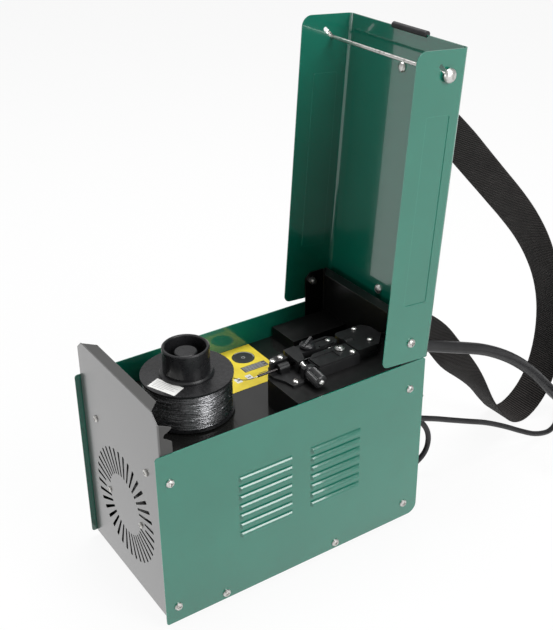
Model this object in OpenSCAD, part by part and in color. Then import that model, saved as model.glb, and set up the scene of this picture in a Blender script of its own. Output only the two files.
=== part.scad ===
/* Portable flux-cored wire welder with its wire feeder under a hinged lid.
   Millimetres. +X points to the front (hinge and cable end), -Y to the louvred
   near side, +Z up. The lid is drawn open, as the machine stands when the wire
   is changed. The origin is on the floor under the middle of the open machine. */

/* [Case] */
// Length of the side panels, from rear edge to front edge
body_l = 338; // [320:1:420]
// Width over the side panels
body_w = 185; // [182:1:230]
// Height of the side panels
body_h = 214; // [200:1:260]
// Thickness of the sheet steel
sheet = 1; // [0.8:0.1:1.2]
// Height of the rubber feet under the tray
foot_h = 8; // [5:1:14]
// How far the end panels stand inside the side panels' ends
end_setback = 6; // [4:0.5:8]
// Radius of the side panels' lower front corner
front_corner_r = 12; // [4:1:20]
// Radius of every bend in the end panels
bend_r = 2.5; // [1.5:0.5:4]

/* [Rear panel] */
// Height of the rear panel above the side panels
rear_rise = 45; // [40:1:50]
// Width of the rear panel's side flanges, which carry the catch notches
rear_flange = 14.2; // [13:0.1:15]
// Number of radial slots in the vent
vent_slots = 36; // [24:2:44]
// Outer radius of the vent
vent_r = 66; // [55:1:70]
// Radius of the plain disc in the middle of the vent
vent_hub_r = 34; // [28:1:40]

/* [Louvres] */
// Slots in each block
louvre_rows = 7; // [4:1:9]
// Length of one slot
louvre_l = 67; // [50:1:72]
// Distance between slots
louvre_pitch = 12; // [10:0.5:14]
// How far the hoods stand out
louvre_out = 3.2; // [2:0.1:3.4]

/* [Lid] */
// Height of the lid's walls and top above the hinge line
lid_rise = 29.6; // [28:0.1:34]
// How far the closed lid's walls reach down over the side panels
lid_lap = 9.6; // [6:0.1:14]
// Gap between the lid's walls and the side panels
lid_gap = 0.8; // [0.6:0.1:1.5]
// Angle from closed to open
lid_open = 94.4; // [90:0.1:96]
// Outer radius of the lid's long bends
lid_bend_r = 5.5; // [3:0.5:8]
// Diameter of the latch rod
rod_d = 4; // [3:0.1:4.4]

/* [Wire spool] */
// Diameter of the spool's flanges
spool_d = 100; // [90:1:104]
// Width of the spool
spool_w = 45; // [38:1:48]
// Bore of the spool
spool_bore = 16.5; // [15:0.1:20]
// Loops in the outer layer of the wire
wire_loops = 16; // [8:1:16]
// Thickness of the drawn wire
wire_t = 1.9; // [1.2:0.1:1.9]
// Outer diameter of the retaining cap
cap_d = 50.8; // [44:0.2:54]
// Height of the retaining cap
cap_h = 32; // [26:1:36]

/* [Wire feeder] */
// Height of the drive pedestal above the deck
pedestal_h = 32.5; // [30:0.5:36]
// Radius of the drive roller
drive_r = 11.4; // [10:0.1:12]
// Radius of the pressure roller
press_r = 9.7; // [9:0.1:10]
// Diameter of the welding wire where it runs free
feed_wire_d = 0.9; // [0.6:0.1:1]
// Diameter of the tension knob
knob_d = 15.4; // [12:0.2:16]

/* [Cords] */
// Diameter of the torch hose
hose_d = 15; // [12:0.5:15]
// Diameter of the earth cable
earth_d = 7; // [6:0.5:7]
// Diameter of the mains lead
mains_d = 7; // [6:0.5:7]
// Width of the carrying strap
strap_w = 48; // [30:1:50]
// Thickness of the carrying strap
strap_t = 1.8; // [1:0.1:2.5]

/* [Fits] */
// Radial clearance of a turning fit
run_fit = 0.05; // [0.02:0.01:0.1]
// Gap between pieces that move past each other
slip = 0.3; // [0.2:0.05:0.5]
// Diameter of the panel screws' shanks
screw_d = 4; // [3:0.5:5]
// Diameter of the hinge screws' shanks
hinge_d = 5; // [4:0.5:6]

/* [Hidden] */
$fn = 48;
eps = 0.01;

// places in the case, measured from the middle of the side panels' bottom edges
half_w = body_w / 2;
inner_w = half_w - sheet;
rear_x = -body_l / 2;
front_x = body_l / 2;
rear_face = rear_x + end_setback;
front_face = front_x - end_setback;
rear_in = rear_face + sheet;
front_in = front_face - sheet;
deck_top = body_h - 32.5;
rear_top = body_h + rear_rise;
front_top = body_h + 41;
front_flange = 28;
front_screw_x = front_x - 20.5;
rear_screw_x = rear_x + 14.5;
high_screw_z = body_h - 34;
low_screw_z = 20;
tray_flange_h = 16;
tray_screw_z = 8;
tray_screws = [rear_x + 72.8, rear_x + 218];
vent_y = 2;
vent_z = 95.5;
fan_screw_y = 37;
fan_screw_z = vent_z - 3;
deck_screw_y = 58;
deck_screw_z = deck_top - 6.5;
hole = 0.2;

// lid, in its own frame: X runs back to front, Z towards the lid's top, hinge line at 0
hinge_x = front_face - 18.7;
hinge_z = body_h + 27;
lid_half = half_w + lid_gap + sheet;
lid_in = lid_half - sheet;
lid_tail = 23.4;
lid_reach = hinge_x - rear_x + 1.9;
lid_low = -(hinge_z - body_h + lid_lap);
hem_w = 15.6;
recess_l = 204;
recess_h = 30;
recess_from = 46.4;
recess_low = -16;
recess_deep = 0.6;
catch_x = rear_face + 7.95;
catch_z = hinge_z - 5.5;
slot_low = [-(hinge_x - catch_x), catch_z - hinge_z];
slot_rise = [8.7, 10.1];
slot_high = slot_low + slot_rise;
slot_w = rod_d + 0.6;
strap_bolt_at = [-20, -276 * lid_reach / 315.2];
strap_bolt_d = 6;

// the open machine's middle, which is the origin's place
open_front = hinge_x - strap_bolt_at[1] * -cos(lid_open) + (lid_rise + strap_t + 2 * slip + 5.2) * sin(lid_open);
origin_x = (open_front + rear_x) / 2;

// spool
spool_x = rear_face + 87.4;
spool_y = 9.3;
spindle_flange_h = 1.7;
spool_z = deck_top + spindle_flange_h + slip;
spool_top = spool_z + spool_w;
flange_t = 2.2;
barrel_r = 24;
core_r = spool_d / 2 - 4.4;
wire_path_r = (core_r + slip + wire_t / 2) / cos(7.5);
wire_z0 = spool_z + flange_t + slip + wire_t / 2;
wire_z1 = spool_top - flange_t - slip - wire_t / 2;
spindle_r = spool_bore / 2 - run_fit;
stem_r = 6;

// wire feeder, drawn with z = 0 on the pedestal's top
unit_x = front_face - 163;
unit_z = deck_top + pedestal_h;
wire_y = -32;
wire_h = 8;
roller_x = 87;
groove = 0.9;
drive_y = wire_y - feed_wire_d / 2 - slip - (drive_r - groove);
press_y = wire_y + feed_wire_d / 2 + slip + press_r;
pivot = [60, -20];
pivot_r = 3;
plate_h = 3;
knob_at = [35, -56, 12];
knob_tilt = 8;
ear_t = 6;

// torch outlet: a straight line that slopes down through the front panel
torch_y = wire_y;
torch_z = deck_top + 22;
torch_tilt = 20;
torch_boot = 28;
earth_y = -45;
earth_z = 101;
mains_y = -25;
mains_z = 86;
earth_relief = 20;
mains_relief = 33;
floor_z = -foot_h;

// routes of the free cords: points on the centre lines, chosen by hand. A route starts at
// its gland, runs to a coil, and its end is counted from the coil's last point.
hose_route = [
  [228, -34, 181], [270, -36, 166], [320, -36, 146], [365, -37, 120], [405, -38, 88],
  [440, -39, 52], [470, -39, 22], [497, -39, 6], [519, -39, 0.2], [540, -39, -0.5]
];
hose_end = [
  [-3.3, -27, 2.3], [-13, -43.5, 7.7], [-27.5, -55.5, 14.6], [-45, -62, 20.3], [-55, -63, 22.2],
  [-66, -63, 22.7], [-75, -63, 22.7]
];
earth_route = [
  [198, -45, 96], [214, -45, 89], [238, -45, 79], [261, -46, 69], [290, -48, 57],
  [320, -51, 45], [350, -55, 30], [378, -59, 14], [402, -62, 2], [426, -62, -4.5],
  [443, -58, -4.5], [458, -49, -4.5], [470, -38, -4.5], [483, -25.5, -4.5], [503, -11, -4.5],
  [523, 2.5, -4.5], [543.5, 16, -4.5], [563.5, 32, -4.5], [583.5, 51.6, -4.5]
];
earth_end = [
  [12, -14, 0], [22, -31, -0.8], [29, -49, -1.5], [33, -66, -1.5], [33.5, -78, -1.5], [33.5, -88, -1.5]
];
mains_route = [
  [212, -26, 82], [227, -28, 70], [238, -29, 54], [242, -29, 37], [238, -29, 21],
  [227, -27, 8], [210, -23, -1], [192, -14, -4.5], [178, 2, -4.5], [171.5, 20, -4.5],
  [170.5, 38, -4.5]
];
mains_end = [[9, 0, 1.1], [17, 0, 3.9], [25, 0, 6.9], [33, 0, 8], [40, 0, 8]];
strap_route = [
  [198, 490], [216, 476], [246, 450], [278, 420], [306, 391], [334, 362], [364, 331], [394, 298],
  [422, 262], [446, 222], [465, 178], [477, 130], [479, 84], [471, 42], [453, 12],
  [428, -5], [403, -2], [384, 17], [363, 44], [334, 82], [306, 117], [282, 149], [259, 177],
  [232, 200], [205, 219], [179, 238]
];
hose_coil = [540, -39, 75, 3.25];
earth_loops = [583.5, 51.6, 38.5, 3.25];
mains_loops = [170.5, 38, 36, 6.25];

// ---------- helpers ----------

// from the case's own place to the origin on the floor
module home() translate([-origin_x, 0, foot_h]) children();

// on the open lid
module on_lid() home() translate([hinge_x, 0, hinge_z]) rotate([0, lid_open, 0]) children();

// on the pedestal
module on_unit() home() translate([unit_x, 0, unit_z]) children();

// an outline drawn in the x-z plane, given thickness t towards -Y from y
module upright(y, t) translate([0, y, 0]) rotate([90, 0, 0]) linear_extrude(t) children();

// an outline drawn in the y-z plane, given thickness t towards +X from x
module crosswise(x, t) translate([x, 0, 0]) rotate([90, 0, 90]) linear_extrude(t) children();

// a cylinder along X or Y
module along_x(x, y, z, l, r) translate([x, y, z]) rotate([0, 90, 0]) cylinder(h = l, r = r);
module along_y(x, y, z, l, r) translate([x, y, z]) rotate([-90, 0, 0]) cylinder(h = l, r = r);

// what rounding a corner at p takes away; the sheet lies towards sx, sz
module corner_cut(p, sx, sz, r)
  translate(p) mirror([sx < 0 ? 1 : 0, 0]) mirror([0, sz < 0 ? 1 : 0]) difference() {
    translate([-1, -1]) square(r + 1);
    translate([r, r]) circle(r);
  }

// rectangle from a to b with rounded corners
module round_rect(a, b, r) difference() {
  translate(a) square(b - a);
  corner_cut(a, 1, 1, r);
  corner_cut([b[0], a[1]], -1, 1, r);
  corner_cut([a[0], b[1]], 1, -1, r);
  corner_cut(b, -1, -1, r);
}

// a screw with a domed cross-slotted head, head outwards along +Z from z = 0
module pan_screw(d, head_d, l) difference() {
  union() {
    translate([0, 0, -l]) cylinder(h = l + eps, r = d / 2);
    rotate_extrude() polygon([
      [0, 0], [head_d / 2, 0], [head_d / 2, head_d * 0.12], [head_d * 0.42, head_d * 0.24],
      [head_d * 0.28, head_d * 0.3], [0, head_d * 0.32]
    ]);
  }
  for (a = [0, 90]) rotate(a) translate([-head_d * 0.28, -head_d * 0.06, head_d * 0.16])
    cube([head_d * 0.56, head_d * 0.12, head_d]);
}

function unit(v) = v / norm(v);

// a smooth path through hand-chosen points, k steps between neighbours
function smooth(p, k) = let (n = len(p)) concat(
  [for (i = [0 : n - 2]) for (j = [0 : k - 1])
    let (
      t = j / k,
      a = p[max(i - 1, 0)], b = p[i], c = p[i + 1], d = p[min(i + 2, n - 1)]
    )
    0.5 * (2 * b + (c - a) * t + (2 * a - 5 * b + 4 * c - d) * t * t
      + (3 * b - a - 3 * c + d) * t * t * t)],
  [p[n - 1]]
);

function path_length(p, i = 0) = i >= len(p) - 1 ? 0
  : norm(p[i + 1] - p[i]) + path_length(p, i + 1);

// rings of one unbroken tube round the path p
function ring(p, i, r, sides, side_ref) = let (
    n = len(p) - 1,
    t = unit(i == 0 ? p[1] - p[0] : i == n ? p[n] - p[n - 1] : p[i + 1] - p[i - 1]),
    u = unit(cross(side_ref, t)),
    w = cross(t, u)
  ) [for (s = [0 : sides - 1]) p[i] + r * (cos(360 * s / sides) * u + sin(360 * s / sides) * w)];

module tube(p, r, sides, side_ref = [0, 0, 1]) {
  n = len(p);
  points = [for (i = [0 : n - 1]) each ring(p, i, r, sides, side_ref)];
  walls = [for (i = [0 : n - 2]) for (s = [0 : sides - 1])
    let (a = i * sides + s, b = i * sides + (s + 1) % sides)
    each [[a, b + sides, b], [a, a + sides, b + sides]]];
  caps = [for (s = [1 : sides - 2])
    each [[0, s, s + 1], [(n - 1) * sides, (n - 1) * sides + s + 1, (n - 1) * sides + s]]];
  polyhedron(points, concat(walls, caps), convexity = 10);
}

// a coil of cord on the floor that turns clockwise from the angle "from": it starts with a
// straight piece at at[0], at[1], spirals in, climbs a layer in the half turn where it
// reverses, and spirals out again over itself. at[2] is its middle radius, at[3] its turns.
function coil_step(d) = d + 0.6;
function coil_r(at, d, t) = let (half = at[3] / 2)
  at[2] + coil_step(d) * half / 2 - coil_step(d) * (t < half ? t : at[3] - t);
function climb(s) = s <= 0 ? 0 : s >= 1 ? 1 : s * s * (3 - 2 * s);
function heading(a) = [sin(a), -cos(a), 0];
function coil_point(at, d, from, t) = let (
    c = [at[0], at[1], 0] + d * heading(from) - coil_r(at, d, 0) * [cos(from), sin(from), 0],
    r = coil_r(at, d, t),
    z = floor_z + d / 2 + coil_step(d) * climb((t - at[3] / 2 + 0.25) / 0.5)
  ) c + [r * cos(from - 360 * t), r * sin(from - 360 * t), z];
function coil_path(at, d, from) = concat(
  [coil_point(at, d, from, 0) - d * heading(from)],
  [for (i = [0 : round(at[3] * 24)]) coil_point(at, d, from, i / 24)],
  [coil_point(at, d, from, at[3]) + d * heading(from - 360 * at[3])]
);

// a free stretch: straight from start along lead, then through the chosen points
function free_path(start, lead, points) = concat([start], smooth(concat([start + lead], points), 2));

// least distance between the centre lines of a coil's neighbouring turns, less the tube
function self_gap(p, d, lead) = min([for (i = [0 : len(p) - 1]) for (j = [i + lead : len(p) - 1])
  norm(p[i] - p[j])]) - d;

// ---------- case ----------

module side_outline() difference() {
  translate([rear_x, 0]) square([body_l, body_h]);
  corner_cut([front_x, 0], -1, 1, front_corner_r);
  corner_cut([rear_x, 0], 1, 1, 3);
  corner_cut([rear_x, body_h], 1, -1, 3.5);
  corner_cut([front_x, body_h], -1, -1, 3.5);
}

// one pressed hood, inset by the sheet's thickness for the space under it
module louvre(inset, depth) {
  top = 3.2 - inset * 1.2;
  out = louvre_out - inset;
  intersection() {
    rotate([90, 0, 90]) translate([0, 0, inset]) linear_extrude(louvre_l - 2 * inset) polygon([
      [-depth, top], [0, top], [out * 0.5, top - 1], [out * 0.85, top - 2.6],
      [out, top - 4.2], [out, -3 - inset * 0.2], [-depth, -3 - inset * 0.2]
    ]);
    translate([0, 0, -4]) linear_extrude(8) polygon([
      [inset, -depth], [louvre_l - inset, -depth], [louvre_l - inset, 0],
      [louvre_l - inset * 0.6 - 2.4, out], [inset * 0.6 + 2.4, out], [inset, 0]
    ]);
  }
}

module louvres(inset, depth)
  for (from = [92, 182.5]) for (row = [0 : louvre_rows - 1])
    translate([rear_x + from, half_w, 79.3 + row * louvre_pitch]) louvre(inset, depth);

side_screw_places = [
  [rear_screw_x, high_screw_z], [rear_screw_x, low_screw_z], [tray_screws[0], tray_screw_z],
  [tray_screws[1], tray_screw_z], [front_screw_x, low_screw_z], [front_screw_x, high_screw_z]
];

module side_panel() difference() {
  union() {
    upright(half_w, sheet) side_outline();
    louvres(0, 0.2);
  }
  louvres(sheet, sheet + 0.4);
  for (p = side_screw_places) along_y(p[0], inner_w - 1, p[1], sheet + 2, screw_d / 2 + hole);
}

module near_side_panel() home() color("seagreen") mirror([0, 1, 0]) side_panel();
module far_side_panel() home() color("seagreen") side_panel();

module base_tray() home() color("dimgray") difference() {
  union() {
    translate([rear_in, -inner_w, 0]) cube([front_in - rear_in, 2 * inner_w, sheet]);
    for (s = [-1, 1]) translate([0, s > 0 ? inner_w : -inner_w + sheet, 0])
      rotate([90, 0, 0]) linear_extrude(sheet) polygon([
        [rear_face + rear_flange + 1, 0], [rear_face + rear_flange + 1, tray_flange_h - 5],
        [rear_face + rear_flange + 6, tray_flange_h], [front_face - front_flange - 6, tray_flange_h],
        [front_face - front_flange - 1, tray_flange_h - 5], [front_face - front_flange - 1, 0]
      ]);
  }
  for (s = [-1, 1]) {
    translate([rear_face, s > 0 ? inner_w - bend_r : -inner_w - 1, -1])
      cube([rear_flange + 1, bend_r + 1, sheet + 2]);
    translate([front_face - front_flange - 1, s > 0 ? inner_w - bend_r : -inner_w - 1, -1])
      cube([front_flange + 1, bend_r + 1, sheet + 2]);
  }
  for (x = tray_screws) along_y(x, -half_w, tray_screw_z, body_w, screw_d / 2 + hole);
  for (x = [-1, 1]) for (y = [-1, 1]) translate([x * (body_l / 2 - 30), y * (half_w - 22), -1])
    cylinder(h = sheet + 2, r = 2.2);
  for (i = [0 : 5]) translate([rear_x + 60 + i * 12, -30, -1]) linear_extrude(sheet + 2)
    round_rect([0, 0], [5, 60], 2.4);
}

module rubber_feet() home() color("black")
  for (x = [-1, 1]) for (y = [-1, 1]) translate([x * (body_l / 2 - 30), y * (half_w - 22), floor_z])
    rotate_extrude() polygon([
      [3.4, 0], [9, 0], [10, 0.8], [11, foot_h], [2, foot_h], [2, foot_h - 3], [3.4, foot_h - 3]
    ]);

// U channel in plan: the face plate and two side flanges folded inwards
module channel(face, width, dir) difference() {
  round_rect(
    [min(face, face + dir * width), -inner_w], [max(face, face + dir * width), inner_w], bend_r
  );
  difference() {
    translate([dir > 0 ? face + sheet : face - width - bend_r, -inner_w + sheet])
      square([width - sheet + bend_r, 2 * (inner_w - sheet)]);
    for (s = [-1, 1]) corner_cut([face + dir * sheet, s * (inner_w - sheet)], dir, -s, bend_r - sheet);
  }
}

// a flange keeps square ends: the channel is drawn longer and trimmed
module trimmed_channel(face, width, dir, h) intersection() {
  linear_extrude(h) channel(face, width + bend_r + 1, dir);
  translate([dir > 0 ? face - 1 : face - width, -half_w, -1]) cube([width + 1, body_w, h + 2]);
}

module catch_notch() {
  translate([rear_face + 9, catch_z - 0.7]) circle(rod_d / 2 + 1.6);
  polygon([
    [rear_face + 9.4, catch_z + 2.85], [rear_face + rear_flange + 1, catch_z + 7],
    [rear_face + rear_flange + 1, catch_z - 9.6], [rear_face + 8.4, catch_z - 4.2]
  ]);
}

module vent_slot(r0) polygon([
  [r0, -1.3], [vent_r - 1, -2.1], [vent_r, -1.2], [vent_r, 1.2], [vent_r - 1, 2.1], [r0, 1.3]
]);

module rear_panel() home() color("dimgray") difference() {
  union() {
    difference() {
      trimmed_channel(rear_face, rear_flange, 1, rear_top);
      upright(half_w + 1, body_w + 2) polygon([
        [rear_in + 0.2, rear_top - 9.5], [rear_face + rear_flange + 1, rear_top - 16.2],
        [rear_face + rear_flange + 1, rear_top + 1], [rear_in + 0.2, rear_top + 1]
      ]);
      upright(half_w + 1, body_w + 2) catch_notch();
    }
    translate([0, 0, rear_top - sheet]) linear_extrude(sheet) polygon([
      [rear_face, -inner_w + 12.5], [rear_face, inner_w - 12.5],
      [rear_face + 13, inner_w - 26], [rear_face + 13, -inner_w + 26]
    ]);
  }
  for (s = [-1, 1]) crosswise(rear_face - 1, sheet + 1.2) polygon([
    [s * (inner_w - 12), rear_top + 0.1], [s * (inner_w + 1), rear_top + 0.1],
    [s * (inner_w + 1), rear_top - 11.5]
  ]);
  crosswise(rear_face - 1, sheet + 2) translate([vent_y, vent_z]) for (i = [0 : vent_slots - 1])
    rotate((i + 0.5) * 360 / vent_slots)
      vent_slot(abs(cos((i + 0.5) * 360 / vent_slots)) > 0.98 ? vent_hub_r + 12 : vent_hub_r + 1);
  for (s = [-1, 1]) {
    along_x(rear_face - 1, s * deck_screw_y, deck_screw_z, sheet + 2, screw_d / 2 + hole);
    along_x(rear_face - 1, vent_y + s * fan_screw_y, fan_screw_z, sheet + 2, screw_d / 2 + hole);
  }
  for (z = [low_screw_z, high_screw_z])
    along_y(rear_screw_x, -half_w, z, body_w, screw_d / 2 + hole);
}

rocker_w = 15;
rocker_l = 22;
rocker_at = [[28, 120], [58, 120]];
knob_pos = [43, 156];
lamp_at = [[22, 92], [43, 92], [64, 92]];
board_z = 98;

module front_panel() home() color("dimgray") difference() {
  union() {
    difference() {
      trimmed_channel(front_face, front_flange, -1, front_top);
      upright(half_w + 1, body_w + 2) polygon([
        [front_in - 0.2, front_top - 3], [front_face - front_flange + 7, front_top - 3],
        [front_face - front_flange - 1, front_top - 11], [front_face - front_flange - 1, front_top + 1],
        [front_in - 0.2, front_top + 1]
      ]);
    }
    translate([0, 0, front_top - sheet]) linear_extrude(sheet) polygon([
      [front_face, -inner_w + 6], [front_face, inner_w - 6],
      [front_face - 13, inner_w - 20], [front_face - 13, -inner_w + 20]
    ]);
  }
  for (s = [-1, 1]) crosswise(front_in - 0.2, sheet + 1.2) polygon([
    [s * (inner_w - 5), front_top + 0.1], [s * (inner_w + 1), front_top + 0.1],
    [s * (inner_w + 1), front_top - 6]
  ]);
  along_y(hinge_x, -half_w, hinge_z, body_w, hinge_d / 2 + hole);
  for (z = [low_screw_z, high_screw_z])
    along_y(front_screw_x, -half_w, z, body_w, screw_d / 2 + hole);
  along_x(front_in - 1, torch_y, torch_z, sheet + 2, 12.2);
  along_x(front_in - 1, earth_y, earth_z, sheet + 2, 7.2);
  along_x(front_in - 1, mains_y, mains_z, sheet + 2, 7.2);
  along_x(front_in - 1, knob_pos[0], knob_pos[1], sheet + 2, 3.6);
  for (p = lamp_at) along_x(front_in - 1, p[0], p[1], sheet + 2, 3.2);
  for (p = rocker_at) translate([front_in - 1, p[0] - rocker_w / 2, p[1] - rocker_l / 2])
    cube([sheet + 2, rocker_w, rocker_l]);
}

module deck_plate() home() color("black") difference() {
  union() {
    translate([rear_in, -inner_w, deck_top - sheet])
      cube([front_in - rear_in, 2 * inner_w, sheet]);
    translate([rear_in, -inner_w + 14, deck_top - 13]) cube([sheet, 2 * inner_w - 28, 13]);
    for (s = [-1, 1]) translate([rear_in + 22, s > 0 ? inner_w - sheet : -inner_w, deck_top - 10])
      cube([front_in - rear_in - 60, sheet, 10]);
  }
  for (s = [-1, 1]) {
    translate([rear_in - 1, s > 0 ? inner_w - 5 : -inner_w - 1, deck_top - 20])
      cube([rear_flange + 2, 6, 30]);
    translate([front_face - front_flange - 1, s > 0 ? inner_w - 5 : -inner_w - 1, deck_top - 20])
      cube([front_flange + 2, 6, 30]);
    along_x(rear_in - 1, s * deck_screw_y, deck_screw_z, sheet + 2, screw_d / 2 + hole);
  }
  translate([unit_x + roller_x, drive_y, deck_top - 5]) cylinder(h = 10, r = 18);
  translate([unit_x + 120, -70, deck_top - 5]) cylinder(h = 10, r = 9);
}

pedestal_wall = 1.2;
base_screw = [19, -57];
pedestal_y = -(inner_w - sheet - slip - 0.2);
pedestal_foot = [[-0.4, -32.3], [13.2, -12], [150, -12], [150, pedestal_y], [-0.4, pedestal_y]];

module drive_pedestal() home() color("black") translate([unit_x, 0, deck_top]) difference() {
  linear_extrude(pedestal_h) polygon(pedestal_foot);
  translate([0, 0, -1]) linear_extrude(pedestal_h - pedestal_wall + 1)
    offset(delta = -pedestal_wall) polygon(pedestal_foot);
  translate([roller_x, drive_y, 0]) cylinder(h = pedestal_h + 1, r = 9);
  translate([112, torch_y - 9, pedestal_h - 24]) cube([40, 18, 30]);
  translate([base_screw[0], base_screw[1], pedestal_h - 3]) cylinder(h = 6, r = 1.5 + hole);
}

module side_step() home() color("black") translate([0, 0, deck_top]) difference() {
  translate([unit_x + 85.5, 44, 0]) cube([front_in - unit_x - 85.5, inner_w - 47, 14.5]);
  translate([unit_x + 86.7, 45.2, -1]) cube([front_in - unit_x - 85.5, inner_w - 49.4, 14.3]);
}

module side_screws() for (p = side_screw_places)
  translate([p[0], half_w, p[1]]) rotate([-90, 0, 0]) pan_screw(screw_d, 9, sheet * 2 + slip);

module case_screws() home() color("silver") {
  side_screws();
  mirror([0, 1, 0]) side_screws();
  for (s = [-1, 1]) {
    translate([rear_face, s * deck_screw_y, deck_screw_z]) rotate([0, -90, 0])
      pan_screw(screw_d, 8, sheet * 2 + 2);
    translate([rear_face, vent_y + s * fan_screw_y, fan_screw_z]) rotate([0, -90, 0])
      pan_screw(screw_d, 7, 6);
  }
}

// ---------- inside the case ----------

core_x = unit_x - 10;
core_w = 96;
core_d = 60;
core_h = 80;
leg = 16;

module transformer_core() home() color("gray") translate([core_x, 0, sheet]) difference() {
  union() {
    translate([0, -core_d / 2, 6]) cube([core_w, core_d, core_h]);
    for (x = [0, core_w - leg]) translate([x, -core_d / 2 - 6, 0]) cube([leg, core_d + 12, 6 + eps]);
  }
  for (x = [leg, core_w / 2 + leg]) translate([x, -core_d / 2 - 1, 6 + leg])
    cube([core_w / 2 - 2 * leg, core_d + 2, core_h - 2 * leg]);
}

module transformer_coil() home() color("sienna") translate([core_x + core_w / 2, 0, sheet + 6 + leg])
  difference() {
    translate([0, 0, 0.4]) linear_extrude(core_h - 2 * leg - 0.8)
      round_rect([-leg - 14, -core_d / 2 - 14], [leg + 14, core_d / 2 + 14], 9);
    translate([-leg - 0.4, -core_d / 2 - 0.4, -1]) cube([2 * leg + 0.8, core_d + 0.8, core_h]);
  }

module rectifier() home() color("lightgray") translate([front_in - 50, 20, sheet]) difference() {
  cube([40, 50, 60]);
  for (i = [0 : 4]) translate([4 + i * 7.2, -1, 8]) cube([4, 52, 60]);
}

module control_board() home() color("darkgreen") translate([front_in - 24, 12, board_z]) {
  cube([1.6, 62, 74]);
  for (p = [[8, 8], [46, 8], [8, 46]]) translate([-17, p[0], p[1]]) cube([17 + eps, 12, 20]);
  translate([1.6 - eps, knob_pos[0] - 12 - 8, knob_pos[1] - board_z - 8]) cube([12, 16, 16]);
  translate([1, knob_pos[0] - 12, knob_pos[1] - board_z]) rotate([0, 90, 0])
    cylinder(h = 24 + sheet + 10, r = 3);
  for (p = [[4, 4], [58, 4], [4, 70], [58, 70]]) translate([1.6 - eps, p[0], p[1]])
    rotate([0, 90, 0]) cylinder(h = 22.4 + eps, r = 2.5);
}

fan_r = 58;
post_l = 14;

// a small motor on two posts behind the vent, with its blades on the inner side
module fan_motor() home() color("gray") translate([rear_in, vent_y, vent_z]) rotate([0, 90, 0])
  difference() {
    union() {
      for (s = [-1, 1]) translate([vent_z - fan_screw_z, s * fan_screw_y, 0])
        cylinder(h = post_l + eps, r = 4.5);
      translate([vent_z - fan_screw_z - 8, -fan_screw_y - 7, post_l])
        cube([16, 2 * fan_screw_y + 14, 2]);
      translate([-24, -30, post_l + 2 - eps]) cube([52, 60, 16]);
      translate([0, 0, post_l + 18 - 2 * eps]) cylinder(h = 9, r = 17);
    }
    for (s = [-1, 1]) translate([vent_z - fan_screw_z, s * fan_screw_y, -1])
      cylinder(h = 9, r = screw_d / 2 + hole);
    translate([0, 0, post_l + 6]) cylinder(h = 30, r = 2.5);
  }

module fan_rotor() home() color("dimgray") translate([rear_in + post_l, vent_y, vent_z])
  rotate([0, 90, 0]) {
    translate([0, 0, 8]) cylinder(h = 24, r = 2.5 - run_fit);
    difference() {
      union() {
        translate([0, 0, 30]) cylinder(h = 16, r = 15);
        for (i = [0 : 4]) rotate(i * 72) translate([14, 0, 38]) rotate([32, 0, 0])
          translate([0, -12, -0.9]) cube([fan_r - 16, 24, 1.8]);
      }
      translate([0, 0, 36]) cylinder(h = 12, r = 12.5);
    }
  }

// ---------- wire spool ----------

module spool_spindle() home() color("black") translate([spool_x, spool_y, deck_top])
  rotate_extrude() polygon([
    [0, 0], [22, 0], [22, spindle_flange_h], [spindle_r, spindle_flange_h],
    [spindle_r, spindle_flange_h + slip + spool_w - 2],
    [stem_r, spindle_flange_h + slip + spool_w - 1],
    [stem_r, spindle_flange_h + spool_w + cap_h - 12], [stem_r - 1, spindle_flange_h + spool_w + cap_h - 11],
    [0, spindle_flange_h + spool_w + cap_h - 11]
  ]);

module wire_spool() home() color([0.12, 0.12, 0.12]) translate([spool_x, spool_y, spool_z])
  difference() {
    rotate_extrude() {
      for (z = [0, spool_w - flange_t]) translate([spool_bore / 2, z])
        square([spool_d / 2 - spool_bore / 2, flange_t]);
      translate([spool_bore / 2, 0]) square([3, spool_w]);
      translate([barrel_r - 2.5, 0]) square([2.5, spool_w]);
    }
    translate([0, 0, -1]) for (a = [30 : 120 : 270]) rotate(a) translate([36, 0, 0])
      cylinder(h = flange_t + 2, r = 5);
  }

module wire_winding() home() color([0.35, 0.35, 0.36]) translate([spool_x, spool_y, 0]) {
  translate([0, 0, spool_z + flange_t]) difference() {
    cylinder(h = spool_w - 2 * flange_t, r = core_r);
    translate([0, 0, -1]) cylinder(h = spool_w, r = barrel_r);
  }
  tube(winding_path, wire_t / 2, 6);
}
winding_rise = (wire_z1 - wire_z0) / wire_loops;
winding_path = concat(
  [[wire_path_r, -wire_t, wire_z0]],
  [for (i = [0 : wire_loops * 24]) [
    wire_path_r * cos(i * 15), wire_path_r * sin(i * 15), wire_z0 + winding_rise * i / 24
  ]],
  [[wire_path_r, wire_t, wire_z1]]
);

module spool_cap() home() color("black") translate([spool_x, spool_y, spool_top + slip])
  difference() {
    rotate_extrude() polygon([
      [stem_r + run_fit, 0], [cap_d / 2 + 4, 0], [cap_d / 2 + 4, 1.6], [cap_d / 2 + 2.4, 3.2],
      [cap_d / 2, 3.2], [cap_d / 2, cap_h - 1], [cap_d / 2 - 1, cap_h], [cap_d / 2 - 2.4, cap_h],
      [cap_d / 2 - 3.4, cap_h - 1], [cap_d / 2 - 4, 8], [12.6, 8], [12.2, cap_h - 7],
      [11.2, cap_h - 6.4], [0, cap_h - 6.4], [0, cap_h - 9.5], [stem_r + run_fit, cap_h - 9.5]
    ]);
  }

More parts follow.
